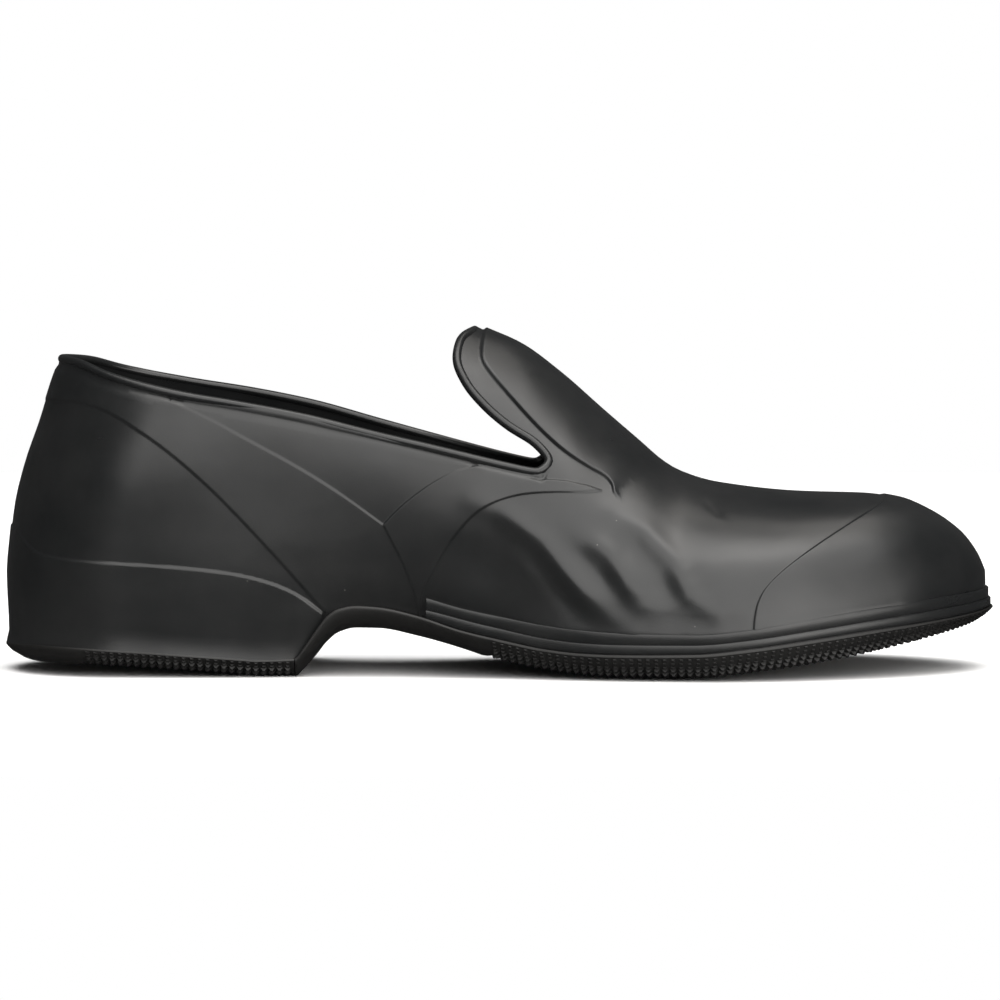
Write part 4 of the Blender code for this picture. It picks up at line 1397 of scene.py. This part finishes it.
def even_loop(loop: Array, step: float, times: int = 3) -> Array:
    """Return a closed line with its corners eased and its points evenly spaced.

    Args:
        loop: points of the line.
        step: distance from point to point.
        times: how often the corners are eased.

    Returns:
        The new points.
    """
    for _ in range(times):
        loop = (np.roll(loop, 1, axis=0) + 2 * loop + np.roll(loop, -1, axis=0)) / 4
    closed = np.concatenate([loop, loop[:1]])
    runs = np.linalg.norm(np.diff(closed, axis=0), axis=1)
    places = np.concatenate([[0.0], np.cumsum(runs)])
    count = int(places[-1] / step)
    marks = np.linspace(0, places[-1], count, endpoint=False)
    return np.stack([np.interp(marks, places, closed[:, i]) for i in range(3)], axis=1)


def wrap_rings(name: str, stations: Array, ring: Callable[[Array, Array], Array], points: int,
               turns: bool) -> bpy.types.Object:
    """Wrap a grid round a run of cross-sections.

    Args:
        name: the object's name.
        stations: places of the cross-sections along the shoe.
        ring: gives the point for each station and each number round the section.
        points: how many points a section has.
        turns: whether the section closes on itself.

    Returns:
        The object, with its open ends capped.
    """
    rows = points + 1 if turns else points
    body, column, row = sheet_of(name, len(stations), rows)
    write_points(body, ring(stations[column], row % points))
    close_up(body, cap=True)
    return body


@dataclass
class Foxing:
    """The stepped strip moulded round the forefoot, down to the sole's lip.

    Attributes:
        start: where it begins behind the waist.
        lower_inset: how far its lower step stands in from the sole's edge.
        upper_inset: how far its upper step stands in.
        bevel: width of its eased edges.
        finish: its rubber.
        station_step: distance between its sections.
    """

    start: float = 131.5
    lower_inset: float = 0.7
    upper_inset: float = 1.4
    bevel: float = 0.45
    station_step: float = 1.6
    finish: RubberFinish = field(default_factory=lambda: RubberFinish("satin_rubber_foxing"))

    def build(self) -> None:
        """Make the lateral and the medial half as one strip round the toe."""
        stations = LAST.stations(self.start, LAST.length, self.station_step)
        loop = np.concatenate([stations, stations[::-1][1:]])
        signs = np.concatenate([np.full(len(stations), -1.0), np.full(len(stations) - 1, 1.0)])
        profile = self.profile()
        strip, column, row = sheet_of("foxing_strip", len(loop), len(profile) + 1)
        row = row % len(profile)
        inset, share, lift = (profile[row, i] for i in range(3))
        points = np.zeros((len(column), 3))
        for side in Side:
            here = signs[column] == side.value
            x = loop[column][here]
            flat = LAST.inner_line(side.value, x, inset[here])
            low = LAST.lip(flat[:, 0])
            middle, top = LAST.foxing_middle(flat[:, 0]), LAST.foxing_top(flat[:, 0])
            part = share[here]
            height = np.where(part <= 1, middle * part, middle + (top - middle) * (part - 1))
            points[here] = np.stack([flat[:, 0], flat[:, 1], low + height + lift[here]], axis=1)
        write_points(strip, points)
        close_up(strip, cap=True)
        shade(strip, 32.0)
        dress(strip, self.finish.material())
        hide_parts("foxing")

    def profile(self) -> Array:
        """Return the section: inset, share of the height with 1 at the step, and lift.

        Returns:
            The table, a row for each corner.
        """
        b, low, high = self.bevel, self.lower_inset, self.upper_inset
        back = high + 1.9
        return np.array([
            (back, 0.0, -0.1), (low + b, 0.0, -0.1), (low + b, 0.0, 0.25), (low + b * 0.3, 0.0, 0.4),
            (low, 0.0, 0.75), (low, 0.5, 0.0), (low, 1.0, -b), (low + b * 0.3, 1.0, -b * 0.3),
            (low + b, 1.0, 0.0), (high + 0.1, 1.0, 0.02), (high, 1.0, 0.3), (high, 1.5, 0.0),
            (high, 2.0, -b), (high + b * 0.3, 2.0, -b * 0.3), (high + b, 2.0, 0.0),
            (back, 2.0, -0.3),
        ])


@dataclass
class Tread:
    """Rows of small moulded teeth under the sole.

    Attributes:
        pitch: distance from tooth to tooth along the shoe.
        depth: height of a tooth.
        tip: share of the pitch that its blunt tip takes.
        rows: rows of teeth up the slanting edge.
        row_rise: share of the edge's height that a row takes.
        margin: how far the underside's teeth stand in from the slanting edge.
        pitch_across: distance from tooth to tooth across the shoe.
        edge_reach: height of the slanting edge's teeth.
    """

    pitch: float
    depth: float
    rows: int
    row_rise: float
    tip: float = 0.22
    margin: float = 5.4
    pitch_across: float = 2.9
    edge_reach: float = 1.15


@dataclass
class SoleBody:
    """One half of the sole: its sheet, its lip, its slanting edge and its teeth.

    Attributes:
        name: its name.
        start: where it begins.
        end: where it ends.
        tread: its teeth.
        slot: its slot's name, not used.
        node: the solid that it replaces.
        toothed: where its teeth begin and end.
        finish: its rubber.
        slant: width of the slanting edge.
        crown_inset: where the crowned edge begins.
        sheet: thickness of the sole's sheet.
        ledge: width of the lip.
        fade: length over which the teeth fade.
        station_step: distance between its sections.
    """

    name: str
    start: float
    end: float
    toothed: tuple
    tread: Tread
    slot: str
    node: str
    finish: RubberFinish
    slant: float = 4.5
    crown_inset: float = 16.0
    sheet: float = 3.6
    ledge: float = 3.2
    fade: float = 4.0
    station_step: float = 1.7

    def build(self) -> None:
        """Make the body and its teeth, and dress them."""
        material = self.finish.material()
        body = wrap_rings(f"{self.name}_body", self.places(), self.ring, len(self.rounds()), True)
        shade(body, 30.0)
        dress(body, material)
        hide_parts(self.node)
        teeth = self.teeth()
        dress(teeth, material)

    def places(self) -> Array:
        """Return the stations of the body."""
        return LAST.stations(self.start, self.end, self.station_step)

    def depth(self, x: Array) -> Array:
        """Return how far the teeth stand out of the body at each place.

        Args:
            x: places along the shoe.

        Returns:
            The depths.
        """
        start, end = self.toothed
        fade_in = smooth((x - start) / self.fade + 0.5)
        fade_out = 1 - smooth((x - end) / self.fade + 0.5)
        return self.tread.depth * fade_in * fade_out

    def rounds(self) -> Array:
        """Return the section: side, inset, share up the slanting edge, and bare depth there.

        Returns:
            The table, a row for each corner.
        """
        half = [
            (16.0, -1.0, 1.0), (10.0, -0.5, 1.0), (self.slant + 0.4, 0.0, 1.0), (self.slant, 0.02, 1.0),
            (self.slant * 0.67, 0.18, 1.0), (self.slant * 0.35, 0.35, 0.9), (0.55, 0.62, 0.8),
            (0.1, 0.8, 0.5), (0.0, 0.9, 0.0), (0.05, 0.95, 0.0), (0.25, 1.0, 0.0),
            (self.ledge, 1.0, 0.0), (self.ledge + 0.3, 2.0, 0.0), (14.0, 2.0, 0.0),
        ]
        sides = [(-1.0, *mark) for mark in half] + [(1.0, *mark) for mark in half[::-1]]
        return np.array(sides)

    def ring(self, x: Array, row: Array) -> Array:
        """Return the points of the section's outline at each station.

        Args:
            x: places along the shoe.
            row: number of each point round the section.

        Returns:
            Points in millimetres.
        """
        table = self.rounds()[row]
        points = np.zeros((len(x), 3))
        for side in Side:
            here = table[:, 0] == side.value
            inset, share, bare = (table[here, i] for i in (1, 2, 3))
            flat = LAST.inner_line(side.value, x[here], inset)
            along = np.clip(flat[:, 0], 0.0, LAST.length)
            height = self.edge_height(along, inset, share)
            height = np.where(share == 2.0, LAST.bottom(along) + self.sheet, height)
            height += bare * self.depth(along)
            points[here] = np.stack([flat[:, 0], flat[:, 1], height], axis=1)
        return points

    def crown(self, x: Array, inset: Array) -> Array:
        """Return how far the underside rises towards its edge."""
        return LAST.crown(x) * np.clip((self.crown_inset - inset) / (self.crown_inset - self.slant), 0, 1)

    def edge_height(self, x: Array, inset: Array, share: Array) -> Array:
        """Return the height of the underside and of the slanting edge, over the teeth's tips.

        Args:
            x: places along the shoe.
            inset: how far in each point is set.
            share: share of the way, 0 to 1.

        Returns:
            The heights.
        """
        bottom, lip = LAST.bottom(x), LAST.lip(x)
        foot = bottom + LAST.crown(x)
        under = bottom + self.crown(x, inset)
        return np.where(share <= 0, under, foot + (lip - foot) * np.clip(share, 0, 1))

    def tooth(self) -> bpy.types.Object:
        """Return one blunt tooth, a unit wide, long and tall, to be copied.

        Returns:
            The tooth.
        """
        clear_selection()
        corner = math.sqrt(0.5)
        bpy.ops.mesh.primitive_cone_add(
            vertices=4, radius1=corner, radius2=corner * self.tread.tip, depth=1.0,
            location=(0.0, 0.0, 0.5), rotation=(0.0, 0.0, math.pi / 4))
        bpy.ops.object.transform_apply(location=True, rotation=True, scale=True)
        return bpy.context.active_object

    def teeth(self) -> bpy.types.Object:
        """Return all the teeth of the tread as one object.

        Returns:
            The teeth.
        """
        centres, *ways, sizes = self.tooth_places()
        model = self.tooth()
        unit = read_points(model)
        shape = bmesh.new()
        for _ in centres:
            shape.from_mesh(model.data)
        bpy.data.objects.remove(model)
        points = centres[:, None, :] + sum(
            unit[None, :, i, None] * (way * sizes[:, i, None])[:, None, :] for i, way in enumerate(ways))
        for corner, point in zip(shape.verts, LAST.to_row(points.reshape(-1, 3))):
            corner.co = point
        bmesh.ops.recalc_face_normals(shape, faces=shape.faces)
        mesh = bpy.data.meshes.new(f"{self.name}_teeth")
        shape.to_mesh(mesh)
        shape.free()
        teeth = bpy.data.objects.new(f"{self.name}_teeth", mesh)
        bpy.context.scene.collection.objects.link(teeth)
        return teeth

    def tooth_places(self) -> tuple[Array, Array, Array, Array, Array]:
        """Return each tooth's foot, its directions and its sizes, under the sole and up its edge."""
        return tuple(np.concatenate(parts) for parts in zip(self.under_teeth(), self.edge_teeth()))

    def under_teeth(self) -> tuple[Array, Array, Array, Array, Array]:
        """Return the teeth of the underside, in rows across the shoe.

        Returns:
            Feet, three directions and sizes, a row for each tooth.
        """
        tread = self.tread
        start, end = self.toothed
        rows = np.arange(start + tread.pitch / 2, end, tread.pitch)
        spread = np.arange(-60.0, 60.0, tread.pitch_across)
        x, y = (grid.ravel() for grid in np.meshgrid(rows, spread))
        y = y + np.where(np.rint((x - rows[0]) / tread.pitch) % 2 > 0, tread.pitch_across / 2, 0.0)
        half = LAST.sole_half(x) * LAST.heel_rounding(x) * LAST.toe_rounding(LAST.length - x)
        inset = half - np.abs(y - LAST.middle(x))
        margin = tread.margin * np.clip(1 + self.end_slope(x), 1.0, 2.5)
        keep = inset > margin
        x, y, inset = x[keep], y[keep], inset[keep]
        bottom = LAST.bottom(x) + self.crown(x, inset)
        slope = (LAST.bottom(x + 0.1) - LAST.bottom(x - 0.1)) / 0.2
        along = np.stack([np.ones_like(x), 0 * x, slope], axis=1)
        along /= np.linalg.norm(along, axis=1, keepdims=True)
        across = np.tile([0.0, 1.0, 0.0], (len(x), 1))
        out = np.cross(across, along) * -1
        out *= np.sign(-out[:, 2:3])
        depth = tread.depth + 0.25
        centre = np.stack([x, y, bottom], axis=1) - out * depth
        sizes = np.tile([tread.pitch, tread.pitch_across, depth], (len(x), 1))
        return centre, along, across, out, sizes

    def end_slope(self, x: Array) -> Array:
        """Return how steeply the plan's outline closes at the heel or the toe.

        Args:
            x: places along the shoe.

        Returns:
            The slopes.
        """
        step = 0.2
        wide = LAST.sole_half(x) * LAST.heel_rounding(x) * LAST.toe_rounding(LAST.length - x)
        near = np.clip(x + step, 0, LAST.length)
        other = LAST.sole_half(near) * LAST.heel_rounding(near) * LAST.toe_rounding(LAST.length - near)
        return np.abs(other - wide) / step

    def edge_teeth(self) -> tuple[Array, Array, Array, Array, Array]:
        """Return the teeth of the slanting edge, in rows round the sole."""
        parts = [self.edge_row(side, row) for side in Side for row in range(self.tread.rows)]
        return tuple(np.concatenate(column) for column in zip(*parts))

    def edge_row(self, side: Side, row: int) -> tuple[Array, Array, Array, Array, Array]:
        """Return one row of the slanting edge's teeth on one side.

        Args:
            side: the side of the shoe.
            row: the row's number from the underside up.

        Returns:
            Feet, three directions and sizes, a row for each tooth.
        """
        tread = self.tread
        start, end = self.toothed
        fine = LAST.stations(start, min(end, LAST.length), 0.5)
        path = LAST.inner_line(side.value, fine, np.full(len(fine), self.slant / 2))
        lengths = np.concatenate([[0.0], np.cumsum(np.linalg.norm(np.diff(path, axis=0), axis=1))])
        marks = np.arange(tread.pitch / 2, lengths[-1], tread.pitch)
        x = np.interp(marks, lengths, fine)
        low, high = row * tread.row_rise, (row + 1) * tread.row_rise
        middle = (low + high) / 2
        here = self.edge_point(side, x, middle)
        ahead = self.edge_point(side, np.minimum(x + 0.3, LAST.length), middle)
        behind = self.edge_point(side, np.maximum(x - 0.3, 0.0), middle)
        top, foot = self.edge_point(side, x, high), self.edge_point(side, x, low)
        along = ahead - behind
        along /= np.linalg.norm(along, axis=1, keepdims=True)
        climb = top - foot
        tall = np.linalg.norm(climb, axis=1)
        climb -= along * np.sum(climb * along, axis=1, keepdims=True)
        climb /= np.linalg.norm(climb, axis=1, keepdims=True)
        out = np.cross(along, climb) * -side.value
        out *= np.sign(-out[:, 2:3])
        depth = tread.edge_reach * np.where(middle > 0.62, 0.75, 1.0)
        centre = here - out * depth
        sizes = np.stack([np.full(len(x), tread.pitch), tall, np.full(len(x), depth)], axis=1)
        return centre, along, climb, out, sizes

    def edge_point(self, side: Side, x: Array, share: float) -> Array:
        """Return points of the slanting edge at a share of its height, at the teeth's tips.

        Args:
            side: the side of the shoe.
            x: places along the shoe.
            share: share of the way, 0 to 1.

        Returns:
            Points in millimetres.
        """
        inset = np.interp(share, (0.0, 0.35, 0.8), (self.slant, self.slant * 0.35, 0.0))
        flat = LAST.inner_line(side.value, x, np.full(len(x), inset))
        along = np.clip(flat[:, 0], 0.0, LAST.length)
        height = self.edge_height(along, np.full(len(x), inset), np.full(len(x), max(share, 1e-6)))
        return np.stack([flat[:, 0], flat[:, 1], height], axis=1)


@dataclass
class Insole:
    """The thin footbed with its knitted lining.

    Attributes:
        start: where it begins.
        end: where it ends.
        lift: gap over the sole.
        thickness: its thickness.
        margin: gap to the wall, with the wall.
        sheet: thickness of the sole's sheet.
        station_step: distance between its sections.
        points: points round a section.
        finish: its lining.
    """

    start: float = 7.0
    end: float = 300.0
    lift: float = 0.3
    thickness: float = 1.5
    margin: float = 2.6
    sheet: float = 3.6
    station_step: float = 2.0
    points: int = 22
    finish: LiningFinish = field(default_factory=lambda: LiningFinish("knitted_lining"))

    def build(self) -> None:
        """Make the footbed and dress it."""
        stations = LAST.stations(self.start, self.end, self.station_step)
        body = wrap_rings("insole_lining", stations, self.ring, self.points, True)
        shade(body, 40.0)
        dress(body, self.finish.material())
        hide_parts("insole")

    def ring(self, x: Array, row: Array) -> Array:
        """Return the points of the footbed's section.

        Args:
            x: places along the shoe.
            row: number of each point round the section.

        Returns:
            Points in millimetres.
        """
        half = self.points // 2
        top = row < half
        share = np.where(top, row, self.points - 1 - row) / (half - 1) * 2 - 1
        share = np.clip(share, -1, 1)
        slope = (LAST.bottom(x + 0.1) - LAST.bottom(x - 0.1)) / 0.2
        lean = np.sqrt(1 + slope * slope)
        base = LAST.lip(x) + 0.3
        lateral = LAST.wall_point(np.full(len(x), -1.0), x, base)[:, 1] + self.margin
        medial = LAST.wall_point(np.full(len(x), 1.0), x, base)[:, 1] - self.margin
        y = lateral + (medial - lateral) * (share + 1) / 2
        lift = np.where(top, self.lift + self.thickness, self.lift) + self.sheet
        edge = np.where(top, 0.35 * smooth((np.abs(share) - 0.85) / 0.15), 0.0)
        return np.stack([x, y, LAST.bottom(x) + (lift - edge) * lean], axis=1)


@dataclass(frozen=True)
class Lamp:
    """A soft area light.

    Attributes:
        name: its name.
        place: where it hangs, in metres.
        size: its width and height, in metres.
        power: its power, in watts.
        colour: its colour.
        aim: the point that it faces, in metres.
        mirrored: whether the rubber mirrors it.
    """

    name: str
    place: tuple
    size: tuple
    power: float
    colour: tuple = (1.0, 1.0, 1.0)
    aim: tuple = (0.0, 0.0, 0.05)
    mirrored: bool = True

    def build(self) -> None:
        """Hang the light, turned towards its aim, and say whether the rubber mirrors it."""
        light = bpy.data.lights.new(self.name, "AREA")
        light.shape = "RECTANGLE"
        light.size, light.size_y = self.size
        light.energy = self.power
        light.color = self.colour
        lamp = bpy.data.objects.new(self.name, light)
        lamp.location = self.place
        lamp.rotation_euler = (Vector(self.aim) - Vector(self.place)).to_track_quat("-Z", "Y").to_euler()
        lamp.visible_glossy = self.mirrored
        bpy.context.scene.collection.objects.link(lamp)


@dataclass(frozen=True)
class FloorFinish:
    """Plain pale paint of the floor.

    Attributes:
        name: the material's name.
        colour: its colour.
    """

    name: str = "pale_floor"
    colour: tuple = (0.86, 0.86, 0.86)

    def material(self) -> bpy.types.Material:
        """Return the material.

        Returns:
            The material.
        """
        material = bpy.data.materials.new(self.name)
        material.use_nodes = True
        board = Board(material)
        place = board.add("ShaderNodeTexCoord").outputs["Object"]
        cloud = board.noise(place, 3.0, 2.0, 0.5)
        darker = tuple(c * 0.985 for c in self.colour)
        board.link(board.mix(cloud, darker, self.colour), board.shader.inputs["Base Color"])
        board.shader.inputs["Roughness"].default_value = 0.8
        return material


@dataclass
class Studio:
    """Camera, floor, backdrop and light.

    Attributes:
        distance: from the camera to the middle of the shoe, in millimetres.
        elevation: how far the camera looks down, in degrees.
        target: the point that it looks at, in shoe millimetres.
        scale: millimetres that a pixel of the photo covers at the target.
        picture: the picture's width in pixels.
        sensor: the camera's sensor width.
        surroundings: light of the surroundings in reflections.
        floor_x: the floor's width, in metres.
        floor_front: the floor's front edge.
        floor_back: the floor's rear edge.
        lamps: the lights.
    """

    distance: float = 1400.0
    elevation: float = 3.0
    target: tuple = (154.128, 0.0, 52.186)
    scale: float = 0.312
    picture: float = 1000.0
    sensor: float = 36.0
    surroundings: float = 0.05
    floor_x: float = 2.6
    floor_front: float = -0.3
    floor_back: float = 1.3
    lamps: tuple = (
        Lamp("floor_light", (0.0, 0.9, 2.4), (3.2, 3.2), 110.0, (1.0, 1.0, 1.0), (0.0, 0.6, 0.0), False),
        Lamp("key_light", (0.25, -0.95, 0.95), (1.9, 1.75), 28.0, (1.0, 0.99, 0.97)),
        Lamp("top_light", (0.0, -0.3, 1.5), (1.3, 0.7), 9.0, (1.0, 0.975, 0.945)),
        Lamp("far_light", (0.5, 0.12, 1.3), (1.0, 0.4), 2.6, (1.0, 0.96, 0.91)),
        Lamp("side_light", (0.95, -1.15, 0.18), (1.3, 0.42), 7.0, (1.0, 0.98, 0.95)),
    )

    def build_camera(self) -> None:
        """Set the camera to the photo's view."""
        tilt = math.radians(self.elevation)
        target = Vector(LAST.to_row(np.array(self.target)))
        camera_data = bpy.data.cameras.new("photo_camera")
        camera_data.sensor_width = self.sensor
        camera_data.lens = self.sensor * self.distance / (self.scale * self.picture)
        camera_data.clip_start = 0.01
        camera_data.clip_end = 100.0
        camera = bpy.data.objects.new("photo_camera", camera_data)
        offset = Vector((0.0, -math.cos(tilt), math.sin(tilt))) * self.distance * MM
        camera.location = target + offset
        camera.rotation_euler = (math.pi / 2 - tilt, 0.0, 0.0)
        bpy.context.scene.collection.objects.link(camera)
        bpy.context.scene.camera = camera

    def build_light(self) -> None:
        """Lay the floor and hang the lights."""
        clear_selection()
        material = FloorFinish().material()
        middle = (self.floor_front + self.floor_back) / 2
        bpy.ops.mesh.primitive_plane_add(size=1.0, location=(0.0, middle, 0.0))
        floor = bpy.context.active_object
        floor.name = "studio_floor"
        floor.scale = (self.floor_x, self.floor_back - self.floor_front, 1.0)
        bpy.ops.object.transform_apply(location=True, rotation=False, scale=True)
        floor.data.materials.append(material)
        floor.visible_glossy = False
        for lamp in self.lamps:
            lamp.build()
        world = bpy.data.worlds.new("studio_world")
        bpy.context.scene.world = world
        world.use_nodes = True
        tree = world.node_tree
        background = tree.nodes["Background"]
        background.inputs["Color"].default_value = (1.0, 1.0, 1.0, 1.0)
        sight = tree.nodes.new("ShaderNodeLightPath").outputs["Is Camera Ray"]
        strength = tree.nodes.new("ShaderNodeMapRange")
        strength.inputs["To Min"].default_value = self.surroundings
        strength.inputs["To Max"].default_value = 1.0
        tree.links.new(sight, strength.inputs["Value"])
        tree.links.new(strength.outputs["Result"], background.inputs["Strength"])
        bpy.context.scene.view_settings.view_transform = "Standard"


class Overshoe:
    """The whole overshoe and its studio."""

    def __init__(self) -> None:
        """Choose the sizes of each piece."""
        tread_finish = RubberFinish("matte_rubber_tread", deep=(0.0045, 0.0043, 0.004),
                                    bloom=(0.009, 0.0086, 0.008), roughness=0.52, dust=0.2)
        heel_tread = Tread(pitch=2.43, depth=1.2, rows=4, row_rise=0.225)
        ball_tread = Tread(pitch=2.5, depth=1.2, rows=5, row_rise=0.175)
        self.studio = Studio()
        self.pieces = (
            Upper(),
            Foxing(),
            SoleBody("heel", 0.0, 91.5, (27.0, 91.0), heel_tread, "heel_rubber", "heel", tread_finish),
            SoleBody("outsole", 91.8, 308.4, (151.0, 320.0), ball_tread, "outsole_rubber", "outsole",
                     tread_finish),
            Insole(),
        )

    def build(self) -> None:
        """Set the camera, build each piece and light it."""
        self.studio.build_camera()
        for piece in self.pieces:
            piece.build()
        self.studio.build_light()


def main() -> None:
    """Build the scene."""
    logging.basicConfig(level=logging.INFO, format="%(name)s: %(message)s")
    Overshoe().build()


if __name__ == "__main__":
    main()
